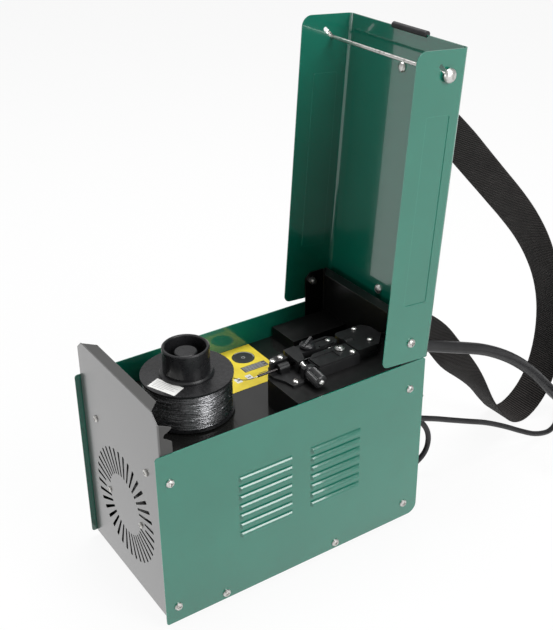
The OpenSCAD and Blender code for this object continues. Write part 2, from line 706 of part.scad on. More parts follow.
// the free wire: off the spool on the far side, round into the inlet, through to the outlet
mouth = [unit_x - 12.7, wire_y, unit_z + wire_h];
leave_r = wire_path_r + wire_t / 2 + slip + feed_wire_d / 2;
to_mouth = [mouth[0] - spool_x, mouth[1] - spool_y];
leave_a = atan2(to_mouth[1], to_mouth[0]) + acos(leave_r / norm(to_mouth));
leave = [spool_x + leave_r * cos(leave_a), spool_y + leave_r * sin(leave_a), spool_z + 19];
leave_to = leave + 26 * [sin(leave_a), -cos(leave_a), 0.2];
arrive_from = mouth - [20, 0, 3];
function bezier(a, b, c, d, t) =
  pow(1 - t, 3) * a + 3 * t * pow(1 - t, 2) * b + 3 * t * t * (1 - t) * c + pow(t, 3) * d;
feed_path = concat(
  [for (i = [0 : 11]) bezier(leave, leave_to, arrive_from, mouth, i / 12)],
  [mouth, mouth + [30, 0, 0], [unit_x + 124, wire_y, unit_z + wire_h]]
);

module feed_wire() home() color("silver") tube(feed_path, feed_wire_d / 2, 8);

// ---------- wire feeder ----------

cover_screw_y = drive_y - drive_r - 1.35;
cover_y = cover_screw_y - 6;
cover_foot = [
  [46, cover_y], [100.6, cover_y], [100.6, wire_y - 3.5],
  [84, wire_y - 2.2], [56, wire_y - 2.2], [46, -41]
];
cover_h = 14;

module feeder_body() on_unit() color([0.1, 0.1, 0.1]) difference() {
  union() {
    linear_extrude(plate_h) polygon([
      [4, -38], [4, -27], [13, -14], [100.6, -14], [100.6, cover_y], [46, cover_y], [43, -60],
      [28, -60], [26, -63], [12, -63], [10, -50]
    ]);
    linear_extrude(cover_h - 2) polygon(cover_foot);
    translate([0, 0, cover_h - 2 - eps]) linear_extrude(2 + eps) offset(delta = -1.2) polygon(cover_foot);
    linear_extrude(cover_h) polygon([
      [6, -27], [6, -25], [14, -17], [29.5, -15.5], [29.5, -26.5]
    ]);
    translate([14, wire_y - 5, 0]) cube([11, 10, wire_h]);
    along_x(13, wire_y, wire_h, 12.5, 5);
    translate([28, knob_at[1] - ear_t / 2, 0]) cube([14, ear_t, 15.5]);
    translate([pivot[0], pivot[1], 0]) cylinder(h = wing_z + 2.7, r = pivot_r);
    translate([pivot[0], pivot[1], 0]) cylinder(h = plate_h + 0.4, r = 6);
  }
  along_x(-1, wire_y, wire_h, 30, 1.5 + run_fit);
  translate([roller_x, drive_y, plate_h + 1.2]) cylinder(h = 8, r = drive_r + 0.7);
  translate([roller_x, drive_y, -1]) cylinder(h = 30, r = 6.4);
  translate(knob_at) rotate([90 + knob_tilt, 0, 0]) translate([0, 0, -20]) cylinder(h = 40, r = 3.2);
  for (p = feeder_screw_places) translate([p[0], p[1], p[2] - 4]) cylinder(h = 8, r = 1.5 + hole);
  translate([50, -56, cover_h - 1]) cube([28, 14, 3]);
}

feeder_screw_places = [
  [11.5, -23.5, cover_h], [23, -21.5, cover_h], [base_screw[0], base_screw[1], plate_h],
  [95, cover_screw_y, cover_h]
];

module feeder_screws() on_unit() color("silver") {
  for (p = feeder_screw_places) translate(p) pan_screw(3, 7, 3.6);
  for (y = [-17, -46]) translate([127, y, cover_h]) pan_screw(3, 7, 8);
}

module gearmotor() on_unit() color("gray") difference() {
  union() {
    translate([roller_x - 28, drive_y - 16, -26]) cube([52, 32, 26 - pedestal_wall]);
    translate([roller_x, drive_y, -86]) cylinder(h = 61, r = 16);
    translate([roller_x, drive_y, -90]) cylinder(h = 5, r = 5);
  }
  translate([roller_x, drive_y, -14]) cylinder(h = 20, r = 3 + run_fit);
}

module drive_roller() on_unit() translate([roller_x, drive_y, 0]) {
  color("silver") rotate_extrude() polygon([
    [0, -13.5], [3, -13.5], [3, plate_h + 1.6], [8, plate_h + 1.6], [8, 5], [drive_r, 5],
    [drive_r, wire_h - groove], [drive_r - groove, wire_h - 0.1], [drive_r - groove, wire_h + 0.1],
    [drive_r, wire_h + groove], [drive_r, 10.6], [drive_r - 0.4, 11], [0, 11]
  ]);
  color("lightgray") difference() {
    translate([0, 0, 11]) cylinder(h = 3.3, r = 4);
    translate([0, 0, 10]) cylinder(h = 3, r = 1.6);
  }
  color("lightgray") translate([0, 0, 14.3]) difference() {
    rotate_extrude() polygon([
      [0, 0], [5.6, 0], [5.6, 0.8], [4.5, 0.9], [4.4, 1.9], [3.4, 2.8], [2, 3.2], [0, 3.3]
    ]);
    for (a = [20, 110]) rotate(a) translate([-2.8, -0.6, 1.8]) cube([5.6, 1.2, 3]);
  }
}

arm_low = plate_h + 0.4 + slip;
arm_top = 14;
wing_z = arm_top + slip;
bridge_z = cover_h + 0.4;
pad_y = -45;

// a lever on the pivot post: the roller's fork on one side, a bridge over the wire on the other
module pressure_arm() on_unit() color([0.13, 0.13, 0.13]) difference() {
  union() {
    translate([0, 0, arm_low]) linear_extrude(arm_top - arm_low) union() {
      polygon([
        [31.5, -25], [50, -28], [66, -29.6], [92, -29.6], [97, -25], [97, -17], [92, -13],
        [66, -12], [52, -11], [31.5, -15]
      ]);
      translate(pivot) circle(9);
    }
    translate([31.5, -25, arm_top - 2]) linear_extrude(bridge_z + 3 - arm_top + 2) polygon([
      [0, 0], [0, 10], [14.5, 10.6], [16.5, 3], [14, -1]
    ]);
    translate([0, 0, bridge_z]) linear_extrude(3) polygon([
      [31, -16], [46, -14], [48, -22], [42, -38], [39, pad_y], [30, pad_y]
    ]);
    translate([30, pad_y, 5]) cube([9, 3.5, bridge_z - 5 + 1]);
    for (y = [-28, -15]) translate([71, y - 1.5, arm_top - eps]) cube([19, 3, 1.6]);
  }
  translate([pivot[0], pivot[1], 0]) cylinder(h = 30, r = pivot_r + run_fit);
  translate([roller_x, press_y, wire_h - 2.9]) cylinder(h = 5.8, r = press_r + 0.7);
  translate([roller_x, press_y, 0]) cylinder(h = 30, r = 2);
}

module pressure_roller() on_unit() color("silver") translate([roller_x, press_y, 0])
  rotate_extrude() polygon([
    [0, arm_low + 0.2], [2 - run_fit, arm_low + 0.2], [2 - run_fit, wire_h - 2.6],
    [press_r - 0.4, wire_h - 2.6], [press_r, wire_h - 2.2], [press_r, wire_h + 2.2],
    [press_r - 0.4, wire_h + 2.6], [2 - run_fit, wire_h + 2.6], [2 - run_fit, arm_top + slip],
    [3.4, arm_top + slip], [3.2, arm_top + 1.4], [2, arm_top + 2.2], [0, arm_top + 2.3]
  ]);

module thumb_wing() on_unit() color([0.1, 0.1, 0.1]) translate([pivot[0], pivot[1], wing_z])
  difference() {
    union() {
      rotate_extrude() polygon([[0, 0], [9, 0], [9, 2.6], [8, 4], [5.5, 5], [5, 6.4], [0, 6.4]]);
      rotate(24) rotate([90, 0, 0]) translate([0, 0, -1.4]) linear_extrude(2.8) polygon([
        [-8.4, 2], [8.4, 2], [8.8, 5], [7.4, 9.4], [3, 8.2], [-6, 6], [-8.6, 4.6]
      ]);
    }
    translate([0, 0, -1]) cylinder(h = 4, r = pivot_r + run_fit);
  }

module on_knob() on_unit() translate(knob_at) rotate([90 + knob_tilt, 0, 0]) children();

knob_from = ear_t / 2 + 1.3;
knob_l = 21;

module tension_knob() on_knob() {
  color([0.1, 0.1, 0.1]) difference() {
    union() {
      translate([0, 0, knob_from + 3]) linear_extrude(knob_l - 4) polygon([
        for (i = [0 : 59]) (knob_d / 2 - (i % 2) * 0.5) * [cos(i * 6), sin(i * 6)]
      ]);
      translate([0, 0, knob_from]) cylinder(h = 3 + eps, r = knob_d / 2 - 1.2);
      translate([0, 0, knob_from + knob_l - 1 - eps]) cylinder(h = 1, r1 = knob_d / 2 - 0.6, r2 = knob_d / 2 - 1.5);
    }
    translate([0, 0, knob_from - 1]) cylinder(h = 14, r = 3.4);
    translate([0, 0, knob_from + knob_l - 3]) cylinder(h = 4, r = 1.5);
  }
  color("lightgray") translate([0, 0, knob_from + knob_l]) pan_screw(3, 6.6, 2.8);
}

pad_gap = knob_at[1] - pad_y + slip + 3.8 * sin(knob_tilt);

module tension_plunger() on_knob() color("silver") {
  translate([0, 0, pad_gap + 1]) cylinder(h = 10 - pad_gap - 1, r = 2.9);
  translate([0, 0, pad_gap]) cylinder(h = 1.2 + eps, r = 3.8);
}

module inlet_tube() on_unit() color("gray") difference() {
  along_x(-12.7, wire_y, wire_h, 56, 1.5);
  along_x(-14, wire_y, wire_h, 60, 0.85);
}

// the torch's own line, z along it and outwards, z = 0 on the front panel's face
module on_torch() home() translate([front_face, torch_y, torch_z]) rotate([0, 90 + torch_tilt, 0])
  children();

module outlet_clamp() color([0.12, 0.12, 0.12]) difference() {
  on_unit() difference() {
    union() {
      linear_extrude(cover_h) polygon([
        [101.2, -56], [104, -58], [130, -58], [146, -42], [146, -22], [139, -12.2],
        [104, -12.2], [101.2, -15]
      ]);
      along_x(101.2, wire_y, wire_h, 10, 7.6);
    }
    along_x(100, wire_y, wire_h, 26, 1.2);
    for (y = [-17, -46]) translate([127, y, 4]) cylinder(h = 20, r = 1.5 + hole);
    translate([114, -70, 6.6]) cube([40, 70, 0.6]);
  }
  on_torch() translate([0, 0, -38]) cylinder(h = 30, r = hose_d / 2 - 1.4);
  on_torch() translate([0, 0, -20.5]) cylinder(h = 16, r = hose_d / 2 + slip);
}

module torch_tail() on_torch() {
  color("black") translate([0, 0, -20]) cylinder(h = 20 + torch_boot, r = hose_d / 2);
  color("gray") difference() {
    translate([0, 0, -37.5]) cylinder(h = 17.5, r = hose_d / 2 - 1.5);
    translate([0, 0, -39]) cylinder(h = 8, r = 2.5);
  }
}

module torch_gland() color("black") difference() {
  union() {
    home() along_x(front_in - 4, torch_y, torch_z, 4, 15);
    home() along_x(front_in - eps, torch_y, torch_z, sheet + 2 * eps, 12);
    home() along_x(front_face, torch_y, torch_z, 3.4, 13);
    on_torch() cylinder(h = 14, r = hose_d / 2 + 3);
    on_torch() translate([0, 0, 14 - eps]) cylinder(h = torch_boot - 14 - 2, r1 = hose_d / 2 + 3, r2 = hose_d / 2 + 1.4);
  }
  on_torch() translate([0, 0, -20]) cylinder(h = 60, r = hose_d / 2 + 0.1);
}

// round bush with a tapering sleeve of length l; the cord's tail fills its bore
module cord_gland(y, z, d, l) home() translate([front_face, y, z]) rotate([0, 90, 0]) {
  difference() {
    rotate_extrude() polygon([
      [d / 2 + 0.1, -sheet - 3], [9.5, -sheet - 3], [9.5, -sheet], [7, -sheet], [7, 0], [9.5, 0],
      [9.5, 2.5], [d / 2 + 2.6, 3.6], [d / 2 + 1.2, l], [d / 2 + 0.1, l]
    ]);
    for (i = [0 : 3]) translate([0, 0, 7 + i * (l - 10) / 4]) difference() {
      cylinder(h = 1.6, r = 12);
      translate([0, 0, -1]) cylinder(h = 4, r = d / 2 + 1.1);
    }
  }
  translate([0, 0, -12]) cylinder(h = 12 + l, r = d / 2);
}

module earth_gland() color("black") cord_gland(earth_y, earth_z, earth_d, earth_relief);
module mains_gland() color("black") cord_gland(mains_y, mains_z, mains_d, mains_relief);

// ---------- controls on the front panel ----------

// rocker that turns about a pin across its middle; its frame snaps into the panel
rocker_tilt = 8;
rocker_pin = [-1.5, 1];
module rocker() rotate([0, 90, 0]) translate([0, 0, rocker_pin[0]]) rotate([0, rocker_tilt, 0])
  difference() {
    translate([0, rocker_w / 2 - 2, 0]) rotate([90, 0, 0]) linear_extrude(rocker_w - 4) polygon([
      [-7.6, 5.2], [0, 3.4], [7.6, 5.2], [7.2, 0.6], [3.6, -3], [-3.6, -3], [-7.2, 0.6]
    ]);
    along_y(0, -20, 0, 40, rocker_pin[1] + run_fit);
  }

module power_rocker() home() color("darkred")
  translate([front_face, rocker_at[0][0], rocker_at[0][1]]) rocker();
module current_rocker() home() color([0.1, 0.1, 0.1])
  translate([front_face, rocker_at[1][0], rocker_at[1][1]]) rocker();

module wire_speed_knob() home() color([0.1, 0.1, 0.1])
  translate([front_face + slip, knob_pos[0], knob_pos[1]]) rotate([0, 90, 0]) difference() {
    union() {
      linear_extrude(12) polygon([
        for (i = [0 : 47]) (12 - (i % 2) * 0.5) * [cos(i * 7.5), sin(i * 7.5)]
      ]);
      cylinder(h = 1.6, r = 14);
      translate([0, 0, 12 - eps]) cylinder(h = 1, r1 = 11, r2 = 10);
    }
    translate([0, 0, -1]) cylinder(h = 11.9, r = 3 + run_fit);
    translate([-11, -0.6, 12.4]) cube([9, 1.2, 2]);
  }

// lamps, and the frames and pins that carry the two rockers
module indicator_lamps() home() color("orange") {
  for (p = lamp_at) translate([front_face, p[0], p[1]]) rotate([0, 90, 0]) {
    translate([0, 0, -6]) cylinder(h = 6 + eps, r = 3);
    rotate_extrude() polygon([[0, 0], [4.4, 0], [4.2, 1.4], [3, 2.8], [1.4, 3.6], [0, 3.8]]);
  }
  for (p = rocker_at) translate([front_face, p[0], p[1]]) rotate([0, 90, 0]) {
    difference() {
      union() {
        linear_extrude(2) round_rect(
          [-rocker_l / 2 - 3, -rocker_w / 2 - 2.5], [rocker_l / 2 + 3, rocker_w / 2 + 2.5], 2
        );
        translate([-rocker_l / 2 + 0.1, -rocker_w / 2 + 0.1, -14])
          cube([rocker_l - 0.2, rocker_w - 0.2, 14 + eps]);
      }
      translate([-rocker_l / 2 + 1.3, -rocker_w / 2 + 1.4, -9])
        cube([rocker_l - 2.6, rocker_w - 2.8, 20]);
    }
    along_y(0, -rocker_w / 2 + 1, rocker_pin[0], rocker_w - 2, rocker_pin[1]);
  }
}

// ---------- lid ----------

module lid_section() difference() {
  difference() {
    translate([-lid_half, lid_low]) square([2 * lid_half, lid_rise - lid_low]);
    corner_cut([-lid_half, lid_rise], 1, -1, lid_bend_r);
    corner_cut([lid_half, lid_rise], -1, -1, lid_bend_r);
  }
  difference() {
    translate([-lid_in, lid_low - 1]) square([2 * lid_in, lid_rise - lid_low + 1 - sheet]);
    corner_cut([-lid_in, lid_rise - sheet], 1, -1, lid_bend_r - sheet);
    corner_cut([lid_in, lid_rise - sheet], -1, -1, lid_bend_r - sheet);
  }
}

module rod_slot() hull() {
  translate(slot_low) circle(slot_w / 2);
  translate(slot_high) circle(slot_w / 2);
}

module lid_shell() on_lid() color("seagreen") difference() {
  union() {
    crosswise(-lid_reach, lid_reach + lid_tail) lid_section();
    for (s = [-1, 1]) upright(s > 0 ? lid_in + eps : -lid_in + recess_deep, recess_deep + eps)
      round_rect(
        [-recess_from - recess_l - 1, recess_low - 1], [-recess_from + 1, recess_low + recess_h + 1], 2.5
      );
    translate([-lid_reach, -lid_half + lid_bend_r + 1, lid_rise - 2 * sheet])
      cube([hem_w, 2 * (lid_half - lid_bend_r - 1), sheet + eps]);
  }
  for (s = [-1, 1]) upright(s > 0 ? lid_half + 1 : -lid_half + recess_deep, recess_deep + 1)
    round_rect([-recess_from - recess_l, recess_low], [-recess_from, recess_low + recess_h], 2);
  upright(lid_half + 1, 2 * lid_half + 2) {
    corner_cut([-lid_reach, lid_low], 1, 1, 12);
    corner_cut([lid_tail, lid_low], -1, 1, 8);
    corner_cut([lid_tail, lid_rise], -1, -1, 3);
    rod_slot();
  }
  along_y(0, -lid_half - 1, 0, 2 * lid_half + 2, hinge_d / 2 + run_fit);
  for (x = strap_bolt_at) translate([x, 0, lid_rise - 5]) cylinder(h = 10, r = strap_bolt_d / 2 + hole);
}

module hinge_screws() home() color("silver") for (s = [-1, 1]) mirror([0, s > 0 ? 0 : 1, 0])
  translate([hinge_x, 0, hinge_z]) {
    translate([0, lid_half + slip, 0]) rotate([-90, 0, 0]) pan_screw(hinge_d, 10, 2);
    along_y(0, inner_w - 8, 0, lid_half + slip - inner_w + 8, hinge_d / 2);
    difference() {
      along_y(0, inner_w, 0, lid_in - slip - inner_w, 6);
      along_y(0, inner_w - 1, 0, 10, hinge_d / 2);
    }
    difference() {
      translate([0, inner_w - sheet, 0]) rotate([90, 0, 0]) cylinder(h = 4, r = 4.6, $fn = 6);
      along_y(0, inner_w - 9, 0, 10, hinge_d / 2);
    }
  }

module strap_bolts() on_lid() color("silver") for (x = strap_bolt_at) translate([x, 0, lid_rise]) {
  translate([0, 0, strap_t + 2 * slip]) difference() {
    cylinder(h = 1, r = 9);
    translate([0, 0, -1]) cylinder(h = 4, r = strap_bolt_d / 2);
  }
  translate([0, 0, strap_t + 2 * slip + 1]) difference() {
    cylinder(h = 4, r = 5.4, $fn = 6);
    translate([0, 0, -1]) cylinder(h = 6, r = strap_bolt_d / 2);
  }
  translate([0, 0, -sheet]) cylinder(h = sheet + strap_t + 2 * slip + 5.2, r = strap_bolt_d / 2);
  translate([0, 0, -sheet]) rotate([180, 0, 0]) rotate_extrude() polygon([
    [0, 0], [5.6, 0], [5.6, 1.2], [4.4, 2.6], [2.4, 3.2], [0, 3.3]
  ]);
}

module edge_grip() on_lid() color("black") difference() {
  along_y(-lid_reach - 0.6, -33, lid_rise - sheet, 53.5, 3.4);
  translate([-lid_reach, -40, lid_rise - 2 * sheet]) cube([10, 70, 2 * sheet]);
}

module latch_rod() on_lid() color("silver") translate([slot_high[0], 0, slot_high[1]]) {
  along_y(0, -lid_half - 1, 0, 2 * lid_half + 2, rod_d / 2);
  for (s = [-1, 1]) mirror([0, s > 0 ? 0 : 1, 0]) translate([0, lid_half + slip, 0])
    rotate([-90, 0, 0]) difference() {
      rotate_extrude() polygon([
        [rod_d / 2, 0], [5, 0], [5.2, 1.6], [7.2, 2.2], [7.5, 3], [6.9, 4.6], [5.4, 5.9],
        [3, 6.8], [0, 7], [0, 0.7], [rod_d / 2, 0.7]
      ]);
    }
}

// the strap's centre line: flat on the lid at both bolts, and a free loop between
function lid_point(u, v) = [
  hinge_x - u * cos(lid_open) + v * sin(lid_open), hinge_z + u * sin(lid_open) + v * cos(lid_open)
];
strap_v = lid_rise + strap_t / 2 + slip;
strap_line = concat(
  [for (u = [14, 0, -11]) lid_point(-strap_bolt_at[1] + u, strap_v)],
  strap_route,
  [for (u = [-11, 0, 14]) lid_point(-strap_bolt_at[0] + u, strap_v)]
);
strap_path = smooth(strap_line, 2);

function strap_side(p, i, off) = let (
    n = len(p) - 1,
    t = unit(i == 0 ? p[1] - p[0] : i == n ? p[n] - p[n - 1] : p[i + 1] - p[i - 1])
  ) p[i] + off * [t[1], -t[0]];

module carry_strap() home() color([0.1, 0.1, 0.1]) difference() {
  upright(2 + strap_w / 2, strap_w) polygon(concat(
    [for (i = [0 : len(strap_path) - 1]) strap_side(strap_path, i, strap_t / 2)],
    [for (i = [len(strap_path) - 1 : -1 : 0]) strap_side(strap_path, i, -strap_t / 2)]
  ));
  for (x = strap_bolt_at) translate([hinge_x, 0, hinge_z]) rotate([0, lid_open, 0])
    translate([x, 0, lid_rise - 5]) cylinder(h = 15, r = strap_bolt_d / 2 + hole);
}

// ---------- cords, torch, clamp and plug ----------

torch_dir = [cos(torch_tilt), 0, -sin(torch_tilt)];
hose_path = free_path([front_face, torch_y, torch_z] + (torch_boot + 0.03) * torch_dir, 12 * torch_dir, hose_route);
earth_path = free_path([front_face + earth_relief, earth_y, earth_z], [4, 0, 0], earth_route);
mains_path = free_path([front_face + mains_relief, mains_y, mains_z], [4, 0, 0], mains_route);
hose_coil_path = coil_path(hose_coil, hose_d, 90);
earth_coil_path = coil_path(earth_loops, earth_d, 135);
mains_coil_path = coil_path(mains_loops, mains_d, 180);
function last(p) = p[len(p) - 1];
function after(coil, lead, end) = free_path(last(coil), lead, [for (q = end) last(coil) + q]);
hose_tail = after(hose_coil_path, [0, -8, 0], hose_end);
earth_tail = after(earth_coil_path, [3, -3, 0], earth_end);
mains_tail = after(mains_coil_path, [4, 0, 0], mains_end);

module torch_hose() home() color("black") {
  tube(hose_path, hose_d / 2, 10);
  tube(hose_tail, hose_d / 2, 10);
}
module torch_coil() home() color("black") tube(hose_coil_path, hose_d / 2, 6);
module earth_cable() home() color("black") {
  tube(earth_path, earth_d / 2, 8);
  tube(earth_tail, earth_d / 2, 8);
}
module earth_coil() home() color("black") tube(earth_coil_path, earth_d / 2, 6);
module mains_cord() home() color("black") {
  tube(mains_path, mains_d / 2, 8, [0, 1, 0.2]);
  tube(mains_tail, mains_d / 2, 8);
}
module mains_coil() home() color("black") tube(mains_coil_path, mains_d / 2, 6);

// the torch lies on its coil along -X with its trigger up, drawn along its own -Y
handle_l = 128;
module at_torch() home() translate(last(hose_tail)) rotate([0, 0, -90]) children();

module torch_handle() {
  handle_body();
  trigger_pin();
}
module handle_body() at_torch() color([0.12, 0.12, 0.12]) difference() {
  rotate([90, 0, 0]) rotate_extrude() polygon([
    [0, 0], [9.6, 0], [11, 4], [11.6, 24], [13, 30], [14.6, 60], [14.9, 92], [13.4, 112],
    [10.4, 124], [9, handle_l], [0, handle_l]
  ]);
  translate([-6.2, -104, 6]) cube([12.4, 46, 20]);
}
module trigger_pin() at_torch() translate([-7, -98.5, 11.5]) rotate([0, 90, 0])
  cylinder(h = 14, r = 1.5 - run_fit);

module torch_trigger() at_torch() color("darkred") difference() {
  translate([-5.8, 0, 0]) rotate([90, 0, 90]) linear_extrude(11.6) polygon([
    [-102, 8], [-102, 12.5], [-98, 15.5], [-88, 19], [-76, 20], [-66, 17], [-61, 13.5], [-61, 9],
    [-70, 12], [-90, 12]
  ]);
  translate([-10, -98.5, 11.5]) rotate([0, 90, 0]) cylinder(h = 20, r = 1.5);
}

neck_r = 60;
module torch_neck() at_torch() color("goldenrod") translate([0, -handle_l, 0]) {
  translate([-neck_r, 0, 0]) rotate([0, 0, -50]) rotate_extrude(angle = 50)
    translate([neck_r, 0]) circle(5.5);
  translate([-neck_r, 0, 0]) rotate([0, 0, -50]) translate([neck_r, 0, 0]) rotate([90, 0, 0])
    rotate_extrude() polygon([
      [0, 0], [7, 0], [9, 3], [9, 34], [7.6, 42], [6.6, 42], [7.6, 33], [7.6, 30], [2, 30],
      [2, 46], [0.9, 46], [0.9, 29], [0, 29]
    ]);
}

// the earth clamp lies flat: two levers with a shared pin and an interleaved knuckle
module at_clamp() home() translate([last(earth_tail)[0] - 16.5, last(earth_tail)[1] - 80, floor_z])
  children();
clamp_h = 18;
lever = [
  [0.4, -58], [6, -60], [12, -54], [15, -40], [14, -24], [9, -8], [10, 6], [17, 30], [20, 52],
  [19.5, 74], [14, 78], [12, 72], [13, 52], [9, 32], [4, 14], [1.5, -6], [6, -22], [6.5, -38],
  [3.2, -48], [0.4, -50]
];

module clamp_lower_jaw() at_clamp() color("gray") difference() {
  union() {
    linear_extrude(clamp_h) polygon(lever);
    linear_extrude(4.6) circle(8);
    translate([0, 0, clamp_h - 4.6]) linear_extrude(4.6) circle(8);
    cylinder(h = clamp_h, r = 3);
    along_y(16.5, 62, last(earth_tail)[2] - floor_z, 18, 5.2);
  }
  translate([0, 0, 4.6]) difference() {
    cylinder(h = clamp_h - 9.2, r = 9.4);
    translate([0, 0, -1]) cylinder(h = clamp_h, r = 3);
  }
}

module clamp_upper_jaw() at_clamp() color("gray") difference() {
  union() {
    mirror([1, 0, 0]) linear_extrude(clamp_h) polygon(lever);
    translate([0, 0, 5.2]) linear_extrude(clamp_h - 10.4) circle(8);
  }
  translate([0, 0, -1]) difference() {
    cylinder(h = 6.2, r = 9.4);
  }
  translate([0, 0, clamp_h - 5.2]) cylinder(h = 6.2, r = 9.4);
  translate([0, 0, -1]) cylinder(h = clamp_h + 2, r = 3 + run_fit);
}

module mains_plug() home() translate(last(mains_tail)) rotate([0, 90, 0]) {
  color("black") difference() {
    rotate_extrude() polygon([
      [0, 0], [6.5, 0], [7.5, 14], [13, 18], [18.6, 26], [18.8, 34], [18.8, 46], [17.8, 47], [0, 47]
    ]);
    for (s = [-1, 1]) translate([-4, s > 0 ? 15.4 : -20.4, 30]) cube([8, 5, 20]);
  }
  color("silver") for (s = [-1, 1]) translate([0, s * 9.5, 47]) rotate_extrude() polygon([
    [0, 0], [2.4, 0], [2.4, 17], [1.4, 19], [0, 19]
  ]);
}

echo(winding_gap = self_gap(winding_path, wire_t, 12));
echo(hose_coil_gap = self_gap(hose_coil_path, hose_d, 12));
echo(earth_coil_gap = self_gap(earth_coil_path, earth_d, 12));
echo(mains_coil_gap = self_gap(mains_coil_path, mains_d, 12));
echo(hose_length = path_length(hose_path) + path_length(hose_coil_path) + path_length(hose_tail));
echo(earth_length = path_length(earth_path) + path_length(earth_coil_path) + path_length(earth_tail));
echo(mains_length = path_length(mains_path) + path_length(mains_coil_path) + path_length(mains_tail));
echo(strap_length = path_length(strap_path));

base_tray();
rubber_feet();
near_side_panel();
far_side_panel();
rear_panel();
front_panel();
deck_plate();
drive_pedestal();
side_step();
case_screws();
transformer_core();
transformer_coil();
rectifier();
control_board();
fan_motor();
fan_rotor();
spool_spindle();
wire_spool();
wire_winding();
spool_cap();
feed_wire();
feeder_body();
feeder_screws();
gearmotor();
drive_roller();
pressure_arm();
pressure_roller();
thumb_wing();
tension_knob();
tension_plunger();
inlet_tube();
outlet_clamp();
torch_tail();
torch_gland();
earth_gland();
mains_gland();
power_rocker();
current_rocker();
wire_speed_knob();
indicator_lamps();
lid_shell();
hinge_screws();
strap_bolts();
edge_grip();
latch_rod();
carry_strap();
torch_hose();
torch_coil();
torch_handle();
torch_trigger();
torch_neck();
earth_cable();
earth_coil();
clamp_lower_jaw();
clamp_upper_jaw();
mains_cord();
mains_coil();
mains_plug();
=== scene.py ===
import math
import random

import bpy
import bmesh
from mathutils import Matrix, Vector


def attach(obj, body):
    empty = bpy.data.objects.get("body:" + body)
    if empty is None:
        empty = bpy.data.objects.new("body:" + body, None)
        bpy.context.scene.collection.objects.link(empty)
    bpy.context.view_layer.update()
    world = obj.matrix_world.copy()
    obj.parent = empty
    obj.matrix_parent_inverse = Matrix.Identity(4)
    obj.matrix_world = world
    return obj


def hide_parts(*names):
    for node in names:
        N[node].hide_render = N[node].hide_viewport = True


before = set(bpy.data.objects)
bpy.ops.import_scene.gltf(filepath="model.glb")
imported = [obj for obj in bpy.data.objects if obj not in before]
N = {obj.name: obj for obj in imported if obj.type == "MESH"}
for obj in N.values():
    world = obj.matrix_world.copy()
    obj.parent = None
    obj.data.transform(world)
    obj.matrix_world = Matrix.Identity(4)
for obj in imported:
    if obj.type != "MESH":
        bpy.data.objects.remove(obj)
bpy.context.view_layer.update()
MM = 0.001
ORIGIN_X = 16.7824  # from the case's middle to the row frame's origin
FOOT = 8.0  # height of the rubber feet


def P(x, y, z):
    """A point of the case, in its own millimetres, in the row frame in metres."""
    return Vector(((x - ORIGIN_X) * MM, y * MM, (z + FOOT) * MM))


def put(points):
    return [P(*q) for q in points]


def add_object(name, data):
    o = bpy.data.objects.new(name, data)
    bpy.context.scene.collection.objects.link(o)
    return o


def mesh_object(name, bm, *mats):
    me = bpy.data.meshes.new(name)
    bm.to_mesh(me)
    for m in mats:
        me.materials.append(m)
    return add_object(name, me)


# ---------------------------------------------------------------- camera
# solved from the straight edges of the case in the photo
PHOTO_WIDTH = 553
FOCAL_PIXELS = 1053.4
SENSOR = 36.0

cam_data = bpy.data.cameras.new("camera")
cam = add_object("camera", cam_data)
cam_data.sensor_fit = "HORIZONTAL"
cam_data.sensor_width = SENSOR
cam_data.lens = FOCAL_PIXELS / PHOTO_WIDTH * SENSOR
cam_data.clip_start = 0.05
cam_data.clip_end = 60
right = Vector((0.83195, -0.55479, -0.00856))
up = Vector((0.27048, 0.39204, 0.87929))
back = Vector((-0.48446, -0.73384, 0.47621))
where = P(-521.0, -839.0, 812.1)
cam.matrix_world = Matrix(
    [
        [right[0], up[0], back[0], where[0]],
        [right[1], up[1], back[1], where[1]],
        [right[2], up[2], back[2], where[2]],
        [0, 0, 0, 1],
    ]
)
bpy.context.scene.camera = cam
bpy.context.scene.view_settings.view_transform = "Standard"


# ---------------------------------------------------------------- materials
def tree(name):
    m = bpy.data.materials.new(name)
    m.use_nodes = True
    nt = m.node_tree
    b = nt.nodes["Principled BSDF"]
    return m, nt, b


def node(nt, kind, **inputs):
    n = nt.nodes.new(kind)
    for k, v in inputs.items():
        n.inputs[k.replace("_", " ")].default_value = v
    return n


def calc(nt, op, *values):
    """A math node on numbers and sockets."""
    n = nt.nodes.new("ShaderNodeMath")
    n.operation = op
    for i, v in enumerate(values):
        if isinstance(v, (int, float)):
            n.inputs[i].default_value = v
        else:
            nt.links.new(v, n.inputs[i])
    return n.outputs[0]


def noise(nt, scale, detail=3.0, rough=0.5, stretch=None):
    place = nt.nodes.new("ShaderNodeTexCoord").outputs["Object"]
    n = node(nt, "ShaderNodeTexNoise", Scale=scale, Detail=detail, Roughness=rough)
    if stretch:
        mp = nt.nodes.new("ShaderNodeMapping")
        mp.inputs["Scale"].default_value = stretch
        nt.links.new(place, mp.inputs["Vector"])
        place = mp.outputs["Vector"]
    nt.links.new(place, n.inputs["Vector"])
    return n


def object_axis(nt, axis):
    """One coordinate of the place on the object, in metres of the row frame."""
    split = nt.nodes.new("ShaderNodeSeparateXYZ")
    nt.links.new(nt.nodes.new("ShaderNodeTexCoord").outputs["Object"], split.inputs[0])
    return split.outputs[axis]


def ramp(nt, src, stops):
    r = nt.nodes.new("ShaderNodeValToRGB")
    e = r.color_ramp.elements
    while len(e) < len(stops):
        e.new(0.5)
    for i, (pos, col) in enumerate(stops):
        e[i].position = pos
        e[i].color = (*col, 1)
    nt.links.new(src, r.inputs["Fac"])
    return r


